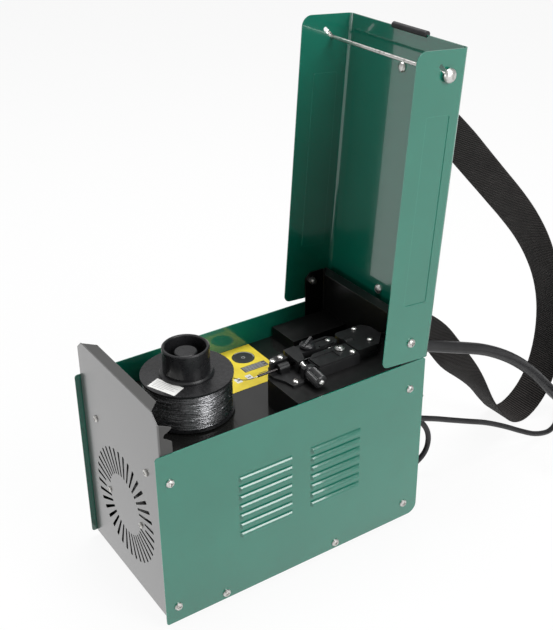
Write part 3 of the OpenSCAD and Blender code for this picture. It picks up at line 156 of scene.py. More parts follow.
def vary(nt, src, lo, hi, lo_in=0.3, hi_in=0.7):
    m = nt.nodes.new("ShaderNodeMapRange")
    m.inputs["From Min"].default_value = lo_in
    m.inputs["From Max"].default_value = hi_in
    m.inputs["To Min"].default_value = lo
    m.inputs["To Max"].default_value = hi
    nt.links.new(src, m.inputs["Value"])
    return m.outputs["Result"]


def bump(nt, b, src, strength, distance, after=None):
    n = nt.nodes.new("ShaderNodeBump")
    n.inputs["Strength"].default_value = strength
    n.inputs["Distance"].default_value = distance
    nt.links.new(src, n.inputs["Height"])
    if after is not None:
        nt.links.new(after.outputs["Normal"], n.inputs["Normal"])
    nt.links.new(n.outputs["Normal"], b.inputs["Normal"])
    return n


def worn_and_highlit_edge(nt, radius=0.0006):
    """1 on sharp edges and 0 on faces: where the paints and plastics turn paler, partly as wear and
    partly as a painted highlight.
    """
    bev = nt.nodes.new("ShaderNodeBevel")
    bev.samples = 4
    bev.inputs["Radius"].default_value = radius
    geo = nt.nodes.new("ShaderNodeNewGeometry")
    dot = nt.nodes.new("ShaderNodeVectorMath")
    dot.operation = "DOT_PRODUCT"
    nt.links.new(bev.outputs["Normal"], dot.inputs[0])
    nt.links.new(geo.outputs["Normal"], dot.inputs[1])
    return vary(nt, dot.outputs["Value"], 1.0, 0.0, 0.75, 0.99)


def mix_color(nt, fac, a, b):
    m = nt.nodes.new("ShaderNodeMix")
    m.data_type = "RGBA"
    nt.links.new(fac, m.inputs["Factor"])
    for i, v in (("A", a), ("B", b)):
        s = [s for s in m.inputs if s.name == i and s.type == "RGBA"][0]
        if isinstance(v, tuple):
            s.default_value = (*v, 1)
        else:
            nt.links.new(v, s)
    return [o for o in m.outputs if o.type == "RGBA"][0]


def times(colour, factor, more=0.0):
    return tuple(min(1, c * factor + more) for c in colour)


def paint(
    name, dark, light, rough=0.28, coat=0.6, peel=0.05, edge=None, coat_rough=0.08, spec=0.5, coat_ior=1.5
):
    """Gloss paint on sheet metal: slight cloudiness, orange peel, paler edges that are partly wear and
    partly a painted highlight.
    """
    m, nt, b = tree(name)
    cloud = noise(nt, 9.0, 4)
    col = ramp(nt, cloud.outputs["Fac"], [(0.3, dark), (0.7, light)]).outputs["Color"]
    if edge:
        col = mix_color(nt, worn_and_highlit_edge(nt), col, edge)
    nt.links.new(col, b.inputs["Base Color"])
    r = noise(nt, 160.0, 2)
    nt.links.new(vary(nt, r.outputs["Fac"], rough - 0.04, rough + 0.05), b.inputs["Roughness"])
    b.inputs["Coat Weight"].default_value = coat
    b.inputs["Coat Roughness"].default_value = coat_rough
    b.inputs["Coat IOR"].default_value = coat_ior
    b.inputs["Specular IOR Level"].default_value = spec
    pl = noise(nt, 700.0, 2, 0.5)
    wide = noise(nt, 22.0, 1)
    first = bump(nt, b, wide.outputs["Fac"], 0.10, 0.0006)
    bump(nt, b, pl.outputs["Fac"], peel, 0.00012, first)
    return m


def dull_behind(m, x):
    """The same paint, but dry and dull wherever X is above x."""
    nt = m.node_tree
    b = nt.nodes["Principled BSDF"]
    mask = vary(nt, object_axis(nt, "X"), 1.0, 0.0, x, x + 0.0004)
    nt.links.new(calc(nt, "MULTIPLY_ADD", mask, -0.4, 0.78), b.inputs["Roughness"])
    nt.links.new(mask, b.inputs["Coat Weight"])


def plastic(name, colour, rough=0.45, grain=1400.0, strength=0.12, pale=None, spec=0.5):
    """Moulded plastic with a fine grain and paler edges that are partly wear and partly a painted
    highlight.
    """
    m, nt, b = tree(name)
    cloud = noise(nt, 30.0, 3)
    pale = pale or times(colour, 1.5, 0.004)
    col = ramp(nt, cloud.outputs["Fac"], [(0.35, colour), (0.75, pale)]).outputs["Color"]
    col = mix_color(nt, worn_and_highlit_edge(nt, 0.0004), col, times(colour, 2, 0.012))
    nt.links.new(col, b.inputs["Base Color"])
    r = noise(nt, 220.0, 2)
    nt.links.new(vary(nt, r.outputs["Fac"], rough - 0.05, rough + 0.07), b.inputs["Roughness"])
    b.inputs["Specular IOR Level"].default_value = spec
    g = noise(nt, grain, 2, 0.6)
    bump(nt, b, g.outputs["Fac"], strength, 0.0001)
    return m


def metal(
    name, colour, rough=0.3, scale=60.0, stretch=(1, 1, 1), dirt=(0.25, 0.24, 0.22), aniso=0.0, grain=0.12
):
    """Bare or plated metal with darker patches."""
    m, nt, b = tree(name)
    cloud = noise(nt, scale, 4, 0.6, stretch)
    col = ramp(nt, cloud.outputs["Fac"], [(0.28, dirt), (0.5, colour), (0.8, times(colour, 1.12))])
    nt.links.new(col.outputs["Color"], b.inputs["Base Color"])
    b.inputs["Metallic"].default_value = 1.0
    fine = noise(nt, scale * 12, 3, 0.6, stretch)
    nt.links.new(vary(nt, fine.outputs["Fac"], rough - 0.08, rough + 0.1), b.inputs["Roughness"])
    bump(nt, b, fine.outputs["Fac"], grain, 0.0001)
    b.inputs["Anisotropic"].default_value = aniso
    return m


def screw_in_plastic(name, base_point, axis, over, *look):
    """Moulded plastic, with bright steel for all that stands above a plane: the screw in a knob."""
    m = plastic(name, *look)
    nt = m.node_tree
    b = nt.nodes["Principled BSDF"]
    tc = nt.nodes.new("ShaderNodeTexCoord")
    dot = nt.nodes.new("ShaderNodeVectorMath")
    dot.operation = "DOT_PRODUCT"
    nt.links.new(tc.outputs["Object"], dot.inputs[0])
    dot.inputs[1].default_value = axis
    level = base_point.dot(axis) + over
    mask = vary(nt, dot.outputs["Value"], 0.0, 1.0, level, level + 0.00005)
    was = b.inputs["Base Color"].links[0].from_socket
    nt.links.new(mix_color(nt, mask, was, (0.72, 0.72, 0.70)), b.inputs["Base Color"])
    nt.links.new(mask, b.inputs["Metallic"])
    return m


def rubber(name, colour=(0.012, 0.012, 0.013), rough=0.5):
    m, nt, b = tree(name)
    cloud = noise(nt, 45.0, 4, 0.6)
    col = ramp(nt, cloud.outputs["Fac"], [(0.4, colour), (0.8, times(colour, 1.8, 0.006))])
    nt.links.new(col.outputs["Color"], b.inputs["Base Color"])
    r = noise(nt, 300.0, 3)
    nt.links.new(vary(nt, r.outputs["Fac"], rough - 0.08, rough + 0.1), b.inputs["Roughness"])
    bump(nt, b, noise(nt, 900.0, 2).outputs["Fac"], 0.15, 0.0001)
    b.inputs["Specular IOR Level"].default_value = 0.35
    return m


green = paint(
    "green_paint",
    (0.003, 0.135, 0.088),
    (0.005, 0.155, 0.102),
    rough=0.16,
    coat=1.0,
    edge=(0.04, 0.30, 0.22),
    coat_rough=0.03,
)
black = paint(
    "black_paint",
    (0.018, 0.018, 0.017),
    (0.026, 0.025, 0.024),
    rough=0.38,
    coat=1.0,
    peel=0.12,
    edge=(0.10, 0.10, 0.098),
    coat_rough=0.2,
    spec=1.0,
    coat_ior=1.7,
)
REAR_FACE_X = -163
FACE_THICK = 0.0012  # the face plate and a little over, in metres
dull_behind(black, P(REAR_FACE_X, 0, 0)[0] + FACE_THICK)
deck_black = paint(
    "deck_black",
    (0.008, 0.008, 0.008),
    (0.013, 0.013, 0.012),
    rough=0.2,
    coat=0.5,
    peel=0.08,
    edge=(0.05, 0.05, 0.05),
    coat_rough=0.05,
)
pit_black = paint(
    "pit_black",
    (0.004, 0.004, 0.004),
    (0.007, 0.007, 0.007),
    rough=0.34,
    coat=0.0,
    peel=0.08,
    edge=(0.06, 0.058, 0.055),
    spec=0.3,
)
spool_black = plastic("spool_black", (0.010, 0.010, 0.011), 0.27, 700.0, 0.05)
cap_black = plastic("cap_black", (0.008, 0.008, 0.009), 0.3, 900.0, 0.06)
unit_black = plastic("unit_black", (0.006, 0.006, 0.0065), 0.4, 2200.0, 0.2, spec=0.35)
unit_smooth = plastic("unit_smooth", (0.008, 0.008, 0.009), 0.34, 1500.0, 0.08, spec=0.35)

# the tension knob's screw is bright above the knob's end face
EAR_T = 6
KNOB_TILT = math.radians(98)
KNOB_AXIS = Vector((0, -math.sin(KNOB_TILT), math.cos(KNOB_TILT)))
KNOB_END = (EAR_T / 2 + 1.3 + 21 + 0.03) * MM
knob_black = screw_in_plastic(
    "knob_black", P(35, -56, 226), KNOB_AXIS, KNOB_END, (0.010, 0.010, 0.011), 0.3, 1500.0, 0.08
)
hidden_black = plastic("hidden_black", (0.02, 0.02, 0.022), 0.5)
oxide = metal("black_oxide", (0.055, 0.05, 0.05), 0.22, 90.0, (1, 12, 12), dirt=(0.02, 0.02, 0.02))
zinc = metal("zinc_plate", (0.62, 0.61, 0.59), 0.3, 220.0)
steel = metal("machined_steel", (0.55, 0.55, 0.54), 0.28, 90.0, (1, 1, 12), aniso=0.3)
motor_steel = metal("motor_steel", (0.38, 0.38, 0.38), 0.4, 60.0)
lamination = metal("laminations", (0.16, 0.16, 0.17), 0.5, 40.0, (1, 60, 1))
aluminium = metal("aluminium", (0.72, 0.72, 0.73), 0.35, 50.0, (1, 1, 8))
brass_m = metal("brass", (0.55, 0.38, 0.16), 0.3, 70.0, dirt=(0.2, 0.13, 0.05))
tape = plastic("varnished_tape", (0.16, 0.09, 0.035), 0.4, 500.0, 0.25, pale=(0.28, 0.17, 0.07))
board_m = plastic("board", (0.01, 0.09, 0.03), 0.35)
red_m = plastic("red_plastic", (0.36, 0.012, 0.010), 0.28, 900.0, 0.05, pale=(0.42, 0.02, 0.015))
lamp_m = plastic("lamp", (0.7, 0.22, 0.02), 0.18, 900.0, 0.03, pale=(0.8, 0.3, 0.04))

# the rockers' frames are in one node with the lamps, and stand above them
FRAMES_FROM, FRAMES_FULL = 100, 101
lamp_tree = lamp_m.node_tree
frame_mask = vary(
    lamp_tree, object_axis(lamp_tree, "Z"), 0.0, 1.0, P(0, 0, FRAMES_FROM)[2], P(0, 0, FRAMES_FULL)[2]
)
lamp_colour = lamp_tree.nodes["Principled BSDF"].inputs["Base Color"]
lamp_tree.links.new(
    mix_color(lamp_tree, frame_mask, lamp_colour.links[0].from_socket, (0.012, 0.012, 0.013)), lamp_colour
)
rubber_m = rubber("rubber")
cable_m = rubber("cable_sheath", (0.010, 0.010, 0.011), 0.38)
wire_m = metal(
    "drawn_wire", (0.30, 0.30, 0.31), 0.26, 30.0, (1, 1, 8), dirt=(0.10, 0.10, 0.10), grain=0.02
)
core_m = metal("wound_wire", (0.16, 0.16, 0.165), 0.35, 14.0, (1, 1, 140), dirt=(0.05, 0.05, 0.05))

looks = {
    green: ["near_side_panel", "far_side_panel", "lid_shell"],
    black: ["rear_panel", "base_tray"],
    deck_black: ["deck_plate"],
    pit_black: ["drive_pedestal", "side_step", "front_panel"],
    spool_black: ["wire_spool", "spool_spindle"],
    cap_black: ["spool_cap"],
    unit_black: ["feeder_body", "outlet_clamp", "pressure_arm"],
    knob_black: ["tension_knob"],
    unit_smooth: ["thumb_wing", "torch_gland", "wire_speed_knob", "current_rocker", "torch_handle"],
    hidden_black: ["fan_rotor"],
    zinc: [
        "case_screws",
        "feeder_screws",
        "hinge_screws",
        "strap_bolts",
        "latch_rod",
        "clamp_lower_jaw",
        "clamp_upper_jaw",
    ],
    steel: ["drive_roller", "pressure_roller", "tension_plunger"],
    oxide: ["inlet_tube"],
    motor_steel: ["gearmotor", "fan_motor"],
    lamination: ["transformer_core"],
    aluminium: ["rectifier"],
    brass_m: ["torch_neck"],
    tape: ["transformer_coil"],
    board_m: ["control_board"],
    red_m: ["power_rocker", "torch_trigger"],
    lamp_m: ["indicator_lamps"],
    rubber_m: ["rubber_feet", "edge_grip", "earth_gland", "mains_gland", "mains_plug", "torch_tail"],
    wire_m: ["feed_wire"],
}
for m, names in looks.items():
    for n in names:
        N[n].data.materials.clear()
        N[n].data.materials.append(m)


# ---------------------------------------------------------------- cords
def smooth(p, k):
    """Catmull-Rom through the chosen points, as in the part's source."""
    p = [Vector(q) for q in p]
    n = len(p)
    out = []
    for i in range(n - 1):
        a, b, c, d = p[max(i - 1, 0)], p[i], p[i + 1], p[min(i + 2, n - 1)]
        for j in range(k):
            t = j / k
            out.append(
                0.5
                * (
                    2 * b
                    + (c - a) * t
                    + (2 * a - 5 * b + 4 * c - d) * t * t
                    + (3 * b - a - 3 * c + d) * t**3
                )
            )
    out.append(p[-1])
    return out


def coil_step(d):
    return d + 0.6


def heading(a):
    return Vector((math.sin(a), -math.cos(a), 0))


def coil_path(at, d, start, per_turn=36):
    """The coil of the part's source, with more points on each turn."""
    x, y, mid, turns = at
    half = turns / 2
    start = math.radians(start)

    def radius(t):
        return mid + coil_step(d) * half / 2 - coil_step(d) * (t if t < half else turns - t)

    c = Vector((x, y, 0)) + d * heading(start)
    c -= radius(0) * Vector((math.cos(start), math.sin(start), 0))

    def at_turn(t):
        s = min(1.0, max(0.0, (t - half + 0.25) / 0.5))
        z = -FOOT + d / 2 + coil_step(d) * s * s * (3 - 2 * s)
        a = start - 2 * math.pi * t
        return c + Vector((radius(t) * math.cos(a), radius(t) * math.sin(a), z))

    n = round(turns * per_turn)
    return (
        [at_turn(0) - d * heading(start)]
        + [at_turn(i * turns / n) for i in range(n + 1)]
        + [at_turn(turns) + d * heading(start - 2 * math.pi * turns)]
    )


def free_path(start, lead, points, k=4):
    start = Vector(start)
    return [start] + smooth([start + Vector(lead)] + [Vector(q) for q in points], k)


def cord_line(start, lead, route, coil, d, turn_from, end_lead, end):
    first = free_path(start, lead, route)
    loops = coil_path(coil, d, turn_from)
    tail = free_path(loops[-1], end_lead, [loops[-1] + Vector(q) for q in end])
    return first + loops[1:] + tail[1:]


def length(p):
    return sum((b - a).length for a, b in zip(p, p[1:]))


def curve_tube(name, pts, radius, mat, sides):
    cu = bpy.data.curves.new(name, "CURVE")
    cu.dimensions = "3D"
    sp = cu.splines.new("POLY")
    sp.points.add(len(pts) - 1)
    for q, v in zip(sp.points, pts):
        q.co = (*v, 1)
    cu.bevel_depth = radius
    cu.bevel_resolution = sides
    cu.use_fill_caps = True
    cu.materials.append(mat)
    sp.use_smooth = True
    return add_object(name, cu)


HOSE_D = 15
CABLE_D = 7
tilt = math.radians(20)
torch_dir = Vector((math.cos(tilt), 0, -math.sin(tilt)))
torch_start = Vector((163, -32, 203.5)) + 28.03 * torch_dir
hose_line = cord_line(
    torch_start,
    12 * torch_dir,
    [
        (228, -34, 181), (270, -36, 166), (320, -36, 146), (365, -37, 120), (405, -38, 88),
        (440, -39, 52), (470, -39, 22), (497, -39, 6), (519, -39, 0.2), (540, -39, -0.5),
    ],
    (540, -39, 75, 3.25),
    HOSE_D,
    90,
    (0, -8, 0),
    [
        (-3.3, -27, 2.3), (-13, -43.5, 7.7), (-27.5, -55.5, 14.6), (-45, -62, 20.3),
        (-55, -63, 22.2), (-66, -63, 22.7), (-75, -63, 22.7),
    ],
)
earth_line = cord_line(
    (183, -45, 101),
    (4, 0, 0),
    [
        (198, -45, 96), (214, -45, 89), (238, -45, 79), (261, -46, 69), (290, -48, 57),
        (320, -51, 45), (350, -55, 30), (378, -59, 14), (402, -62, 2), (426, -62, -4.5),
        (443, -58, -4.5), (458, -49, -4.5), (470, -38, -4.5), (483, -25.5, -4.5),
        (503, -11, -4.5), (523, 2.5, -4.5), (543.5, 16, -4.5), (563.5, 32, -4.5),
        (583.5, 51.6, -4.5),
    ],
    (583.5, 51.6, 38.5, 3.25),
    CABLE_D,
    135,
    (3, -3, 0),
    [
        (12, -14, 0), (22, -31, -0.8), (29, -49, -1.5), (33, -66, -1.5), (33.5, -78, -1.5),
        (33.5, -88, -1.5),
    ],
)
mains_line = cord_line(
    (196, -25, 86),
    (4, 0, 0),
    [
        (212, -26, 82), (227, -28, 70), (238, -29, 54), (242, -29, 37), (238, -29, 21),
        (227, -27, 8), (210, -23, -1), (192, -14, -4.5), (178, 2, -4.5), (171.5, 20, -4.5),
        (170.5, 38, -4.5),
    ],
    (170.5, 38, 36, 6.25),
    CABLE_D,
    180,
    (4, 0, 0),
    [(9, 0, 1.1), (17, 0, 3.9), (25, 0, 6.9), (33, 0, 8), (40, 0, 8)],
)

for name, line, d, nodes, far, stiff, extra in (
    (
        "torch_hose_line",
        hose_line,
        HOSE_D,
        ("torch_hose", "torch_coil"),
        "tool",
        "stiff",
        ("torch_handle", "torch_trigger", "torch_neck"),
    ),
    (
        "earth_line",
        earth_line,
        CABLE_D,
        ("earth_cable", "earth_coil"),
        "fitting",
        "medium",
        ("clamp_lower_jaw", "clamp_upper_jaw"),
    ),
    ("mains_line", mains_line, CABLE_D, ("mains_cord", "mains_coil"), "plug", "medium", ("mains_plug",)),
):
    pts = put(line)
    o = curve_tube(name, pts, d / 2 * MM, cable_m, 4)
    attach(o, "machine")
    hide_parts(*nodes)

# ---------------------------------------------------------------- strap
OPEN = math.radians(94.4)
HINGE_X, HINGE_Z = 144.3, 241
LID_RISE = 29.6
SLIP = 0.3
STRAP_W = 48
STRAP_T = 1.8
RIB = 3.1  # distance between the crosswise ribs
WARPS = 22  # warp threads across the width


def lid_point(u, v):
    return (
        HINGE_X - u * math.cos(OPEN) + v * math.sin(OPEN),
        HINGE_Z + u * math.sin(OPEN) + v * math.cos(OPEN),
    )


strap_v = LID_RISE + STRAP_T / 2 + SLIP
strap_flat = (
    [lid_point(276 + u, strap_v) for u in (14, 0, -11)]
    + [
        (198, 490), (216, 476), (246, 450), (278, 420), (306, 391), (334, 362), (364, 331),
        (394, 298), (422, 262), (446, 222), (465, 178), (477, 130), (479, 84), (471, 42),
        (453, 12), (428, -5), (403, -2), (384, 17), (363, 44), (334, 82), (306, 117),
        (282, 149), (259, 177), (232, 200), (205, 219), (179, 238),
    ]
    + [lid_point(20 + u, strap_v) for u in (-11, 0, 14)]
)
strap_line = smooth([(x, 2, z) for x, z in strap_flat], 4)


def webbing_material():
    m, nt, b = tree("webbing")
    uv = nt.nodes.new("ShaderNodeUVMap")
    sep = nt.nodes.new("ShaderNodeSeparateXYZ")
    nt.links.new(uv.outputs["UV"], sep.inputs[0])

    # u counts crosswise ribs along the length, v counts warp threads across the width
    along = calc(nt, "MULTIPLY", sep.outputs["X"], 2 * math.pi)
    across = calc(nt, "MULTIPLY", sep.outputs["Y"], 2 * math.pi)
    rib = calc(nt, "ABSOLUTE", calc(nt, "SINE", calc(nt, "MULTIPLY", along, 0.5)))
    thread = calc(nt, "ABSOLUTE", calc(nt, "SINE", calc(nt, "MULTIPLY", across, 0.5)))
    crossing = calc(nt, "SINE", calc(nt, "ADD", along, across))
    threads = calc(
        nt, "ADD", calc(nt, "MULTIPLY", thread, 0.25), calc(nt, "MULTIPLY", crossing, 0.1)
    )
    both = calc(nt, "ADD", rib, threads)
    fine = noise(nt, 2500.0, 2)
    weave = bump(nt, b, both, 0.8, 0.0005)
    bump(nt, b, fine.outputs["Fac"], 0.2, 0.0002, weave)
    cloud = noise(nt, 60.0, 4)
    crests = [(0.35, (0.040, 0.035, 0.033)), (0.75, (0.062, 0.055, 0.052))]
    base = ramp(nt, cloud.outputs["Fac"], crests)
    # painted shade: the grooves between the ribs are coloured nearly black, and only the crests take the
    # webbing's own colour
    on_crest = vary(nt, both, 0.0, 1.0, 0.75, 1.15)
    col = mix_color(nt, on_crest, (0.0012, 0.001, 0.001), base.outputs["Color"])
    nt.links.new(col, b.inputs["Base Color"])
    b.inputs["Roughness"].default_value = 0.8
    b.inputs["Specular IOR Level"].default_value = 0.2
    b.inputs["Sheen Weight"].default_value = 0.06
    b.inputs["Sheen Roughness"].default_value = 0.4
    return m


webbing = webbing_material()

# the strap's twist in degrees at shares of its length
TWIST = [
    (0, 0), (0.03, 0), (0.08, -38), (0.25, -38), (0.47, 0),
    (0.70, 0), (0.80, 38), (0.92, 40), (0.972, 0), (1, 0),
]
# the webbing's section: places across its width, and its thickness there
ACROSS = [-0.5, -0.47, -0.43, -0.3, -0.15, 0, 0.15, 0.3, 0.43, 0.47, 0.5]
SWELL = [0.5, 0.95, 1.0, 0.86, 0.84, 0.84, 0.84, 0.86, 1.0, 0.95, 0.5]


def turned(f):
    """The strap's twist at a share of its length: it lies flat on its bolts and at the bottom
    of its loop, and turns its face to the side in between."""
    for (f0, t0), (f1, t1) in zip(TWIST, TWIST[1:]):
        if f <= f1:
            s = (f - f0) / (f1 - f0)
            return t0 + (t1 - t0) * s * s * (3 - 2 * s)
    return 0.0


def strap(name, line, width, thick, mat):
    """Flat webbing along a line in the x-z plane, with slightly thicker selvedges."""
    bm = bmesh.new()
    uvl = bm.loops.layers.uv.new("UVMap")
    rows = []
    dist = 0
    whole = length(line)
    for i, q in enumerate(line):
        a = line[max(i - 1, 0)]
        b = line[min(i + 1, len(line) - 1)]
        t = (b - a).normalized()
        nrm = Vector((t[2], 0, -t[0]))
        if i:
            dist += (q - line[i - 1]).length
        turn = math.radians(turned(dist / whole))
        side = math.cos(turn) * Vector((0, -1, 0)) + math.sin(turn) * nrm
        face = math.cos(turn) * nrm - math.sin(turn) * Vector((0, -1, 0))
        top, bot = [], []
        for s, w in zip(ACROSS, SWELL):
            top.append(bm.verts.new(P(*(q + s * width * side + face * thick / 2 * w))))
        for s, w in zip(ACROSS, SWELL):
            bot.append(bm.verts.new(P(*(q + s * width * side - face * thick / 2 * w))))
        rows.append((top, bot, dist))
    k = len(ACROSS)

    def quad(vs, uvs):
        f = bm.faces.new(vs)
        f.smooth = True
        for lp, uv in zip(f.loops, uvs):
            lp[uvl].uv = uv

    for (t0, b0, d0), (t1, b1, d1) in zip(rows, rows[1:]):
        u0, u1 = d0 / RIB, d1 / RIB
        for j in range(k - 1):
            v0, v1 = ACROSS[j] * WARPS, ACROSS[j + 1] * WARPS
            quad((t0[j], t0[j + 1], t1[j + 1], t1[j]), ((u0, v0), (u0, v1), (u1, v1), (u1, v0)))
            quad((b0[j + 1], b0[j], b1[j], b1[j + 1]), ((u0, v1), (u0, v0), (u1, v0), (u1, v1)))
        quad((b0[0], t0[0], t1[0], b1[0]), ((u0, 0), (u0, 0.2), (u1, 0.2), (u1, 0)))
        quad((t0[-1], b0[-1], b1[-1], t1[-1]), ((u0, 0.2), (u0, 0), (u1, 0), (u1, 0.2)))
    for t, b, d in (rows[0], rows[-1]):
        for j in range(k - 1):
            vs = (t[j], b[j], b[j + 1], t[j + 1])
            quad(vs if d == 0 else vs[::-1], ((0, 0), (0, 0.2), (0.2, 0.2), (0.2, 0)))
    bmesh.ops.recalc_face_normals(bm, faces=bm.faces)
    return mesh_object(name, bm, mat)


band = strap("webbing_strap", strap_line, STRAP_W, STRAP_T, webbing)
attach(band, "lid")
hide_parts("carry_strap")

# ---------------------------------------------------------------- winding
SPOOL = (-75.6, 9.3)
Z0, Z1 = 185.9 + 0.5, 226.3 - 0.5
TURNS = 42
TURN_STEPS = 40
CROSSINGS = 16
CROSSING_STEPS = 44
WIRE_R = 0.46


def on_drum(r, a, z):
    """A point on the winding, kept between the flanges."""
    return P(SPOOL[0] + r * math.cos(a), SPOOL[1] + r * math.sin(a), min(Z1, max(Z0, z)))


rng = random.Random(7)
even = []
wob = 0.0
for i in range(TURNS * TURN_STEPS + 1):
    f = i / (TURNS * TURN_STEPS)
    wob = 0.92 * wob + rng.uniform(-0.035, 0.035)
    r = 46.5 + 0.30 * math.sin(i * 0.113) + 0.25 * math.sin(i * 0.0371)
    even.append(on_drum(r, 2 * math.pi * i / TURN_STEPS, Z0 + f * (Z1 - Z0) + wob * 3))
lines = [even]
for k in range(CROSSINGS):
    pts = []
    a0 = rng.uniform(0, 6.28)
    zc = rng.uniform(Z0 + 3, Z1 - 3)
    amp = rng.uniform(3, 14)
    for i in range(3 * CROSSING_STEPS + 1):
        a = 2 * math.pi * i / CROSSING_STEPS
        z = zc + amp * math.sin(a * 0.61 + a0) + 3 * math.sin(a * 0.23)
        pts.append(on_drum(47.3 + 0.12 * k % 0.5, a0 + a, z))
    lines.append(pts)


def many_tubes(name, lines, radius, mat, sides=6):
    bm = bmesh.new()
    for line in lines:
        rings = []
        for i, q in enumerate(line):
            t = (line[min(i + 1, len(line) - 1)] - line[max(i - 1, 0)]).normalized()
            u = Vector((0, 0, 1)).cross(t).normalized()
            w = t.cross(u)
            ring = []
            for s in range(sides):
                a = 2 * math.pi * s / sides
                ring.append(bm.verts.new(q + radius * (math.cos(a) * u + math.sin(a) * w)))
            rings.append(ring)
        for r0, r1 in zip(rings, rings[1:]):
            for s in range(sides):
                f = bm.faces.new((r0[s], r0[(s + 1) % sides], r1[(s + 1) % sides], r1[s]))
                f.smooth = True
        bm.faces.new(rings[0][::-1])
        bm.faces.new(rings[-1])
    return mesh_object(name, bm, mat)


wires = many_tubes("wound_turns", lines, WIRE_R * MM, wire_m)
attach(wires, "spool")


def lathe(name, profile, centre, mat, steps):
    """A flat-shaded ring from a closed profile of (radius, height), all in millimetres."""
    bm = bmesh.new()
    cols = []
    for s in range(steps):
        a = 2 * math.pi * s / steps
        col = [P(centre[0] + r * math.cos(a), centre[1] + r * math.sin(a), z) for r, z in profile]
        cols.append([bm.verts.new(q) for q in col])
    k = len(profile)
    for s in range(steps):
        c0, c1 = cols[s], cols[(s + 1) % steps]
        for j in range(k):
            bm.faces.new((c0[j], c1[j], c1[(j + 1) % k], c0[(j + 1) % k]))
    bmesh.ops.recalc_face_normals(bm, faces=bm.faces)
    return mesh_object(name, bm, mat)


# under the turns: a drum whose surface is ridged like a layer of wire
CORE_IN = 24.0
CORE_LOW, CORE_HIGH = 185.7, 226.1
CORE_HEIGHT = 40.4
RIDGES = 90
ridged = [
    (45.9 if i % 2 else 46.2, CORE_LOW + CORE_HEIGHT * i / RIDGES) for i in range(RIDGES + 1)
]
core = lathe(
    "wound_core", [(CORE_IN, CORE_LOW)] + ridged + [(CORE_IN, CORE_HIGH)], SPOOL, core_m, 96
)
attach(core, "spool")
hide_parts("wire_winding")

# ---------------------------------------------------------------- the wire that is being fed
MOUTH = Vector((-12.7, -32, 222))
LEAVE_R = 48.96
LEAVE_Z = 202.5
FREE_STEPS = 32
to_mouth = Vector((MOUTH[0] - SPOOL[0], MOUTH[1] - SPOOL[1]))
leave_a = math.atan2(to_mouth[1], to_mouth[0]) + math.acos(LEAVE_R / to_mouth.length)
leave = Vector(
    (SPOOL[0] + LEAVE_R * math.cos(leave_a), SPOOL[1] + LEAVE_R * math.sin(leave_a), LEAVE_Z)
)
leave_to = leave + 26 * Vector((math.sin(leave_a), -math.cos(leave_a), 0.2))
arrive_from = MOUTH - Vector((20, 0, 3))


def bezier(a, b, c, d, t):
    return (1 - t) ** 3 * a + 3 * t * (1 - t) ** 2 * b + 3 * t * t * (1 - t) * c + t**3 * d


fed_line = [bezier(leave, leave_to, arrive_from, MOUTH, i / FREE_STEPS) for i in range(FREE_STEPS)]
fed_line += [MOUTH + Vector((x, 0, 0)) for x in (0, 12, 30, 60, 90, 136.7)]
fed_wire = curve_tube("fed_wire", put(fed_line), 0.45 * MM, wire_m, 3)
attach(fed_wire, "machine")
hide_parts("feed_wire")


# ---------------------------------------------------------------- label and sticker
def flat_shape(bm, outline, z0, z1, index=0):
    """A flat prism in the case's millimetres."""
    lo = [bm.verts.new(P(x, y, z0)) for x, y in outline]
    hi = [bm.verts.new(P(x, y, z1)) for x, y in outline]
    fs = [bm.faces.new(hi), bm.faces.new(lo[::-1])]
    n = len(outline)
    for i in range(n):
        fs.append(bm.faces.new((lo[i], lo[(i + 1) % n], hi[(i + 1) % n], hi[i])))
    for f in fs:
        f.material_index = index


def box(x, y, w, h):
    return [(x, y), (x + w, y), (x + w, y + h), (x, y + h)]


def arc(cx, cy, r, a0, a1, n):
    angles = [math.radians(a0 + (a1 - a0) * i / n) for i in range(n + 1)]
    return [(cx + r * math.cos(a), cy + r * math.sin(a)) for a in angles]


def paper(name, colour, dirt, rough=0.35):
    m, nt, b = tree(name)
    cloud = noise(nt, 70.0, 3)
    col = ramp(nt, cloud.outputs["Fac"], [(0.3, dirt), (0.6, colour)])
    nt.links.new(col.outputs["Color"], b.inputs["Base Color"])
    r = noise(nt, 400.0, 2)
    nt.links.new(vary(nt, r.outputs["Fac"], rough - 0.05, rough + 0.1), b.inputs["Roughness"])
    bump(nt, b, noise(nt, 120.0, 2).outputs["Fac"], 0.08, 0.0003)
    return m


yellow = paper("label_yellow", (0.84, 0.66, 0.045), (0.74, 0.56, 0.03))
ink = paper("label_ink", (0.02, 0.02, 0.02), (0.03, 0.03, 0.03))
white = paper("label_white", (0.82, 0.82, 0.8), (0.74, 0.74, 0.72))
pale_print_and_highlight = paper("label_pale", (0.40, 0.40, 0.40), (0.32, 0.32, 0.32))
grey = paper("label_grey", (0.075, 0.075, 0.075), (0.055, 0.055, 0.055))

# the label: a yellow sheet with a disc, bars and two tags, all plain, and a pale arc on the black disc
# that is a painted highlight
DECK_Z = 181.5
SHEET, FIRST, SECOND = (0.03, 0.2), (0.2, 0.26), (0.26, 0.3)  # layers above the deck
YELLOW, INK, WHITE, PALE, GREY = range(5)
DISC = (30.3, 67.7)
bm = bmesh.new()


def on_label(outline, layer, index):
    flat_shape(bm, outline, DECK_Z + layer[0], DECK_Z + layer[1], index)


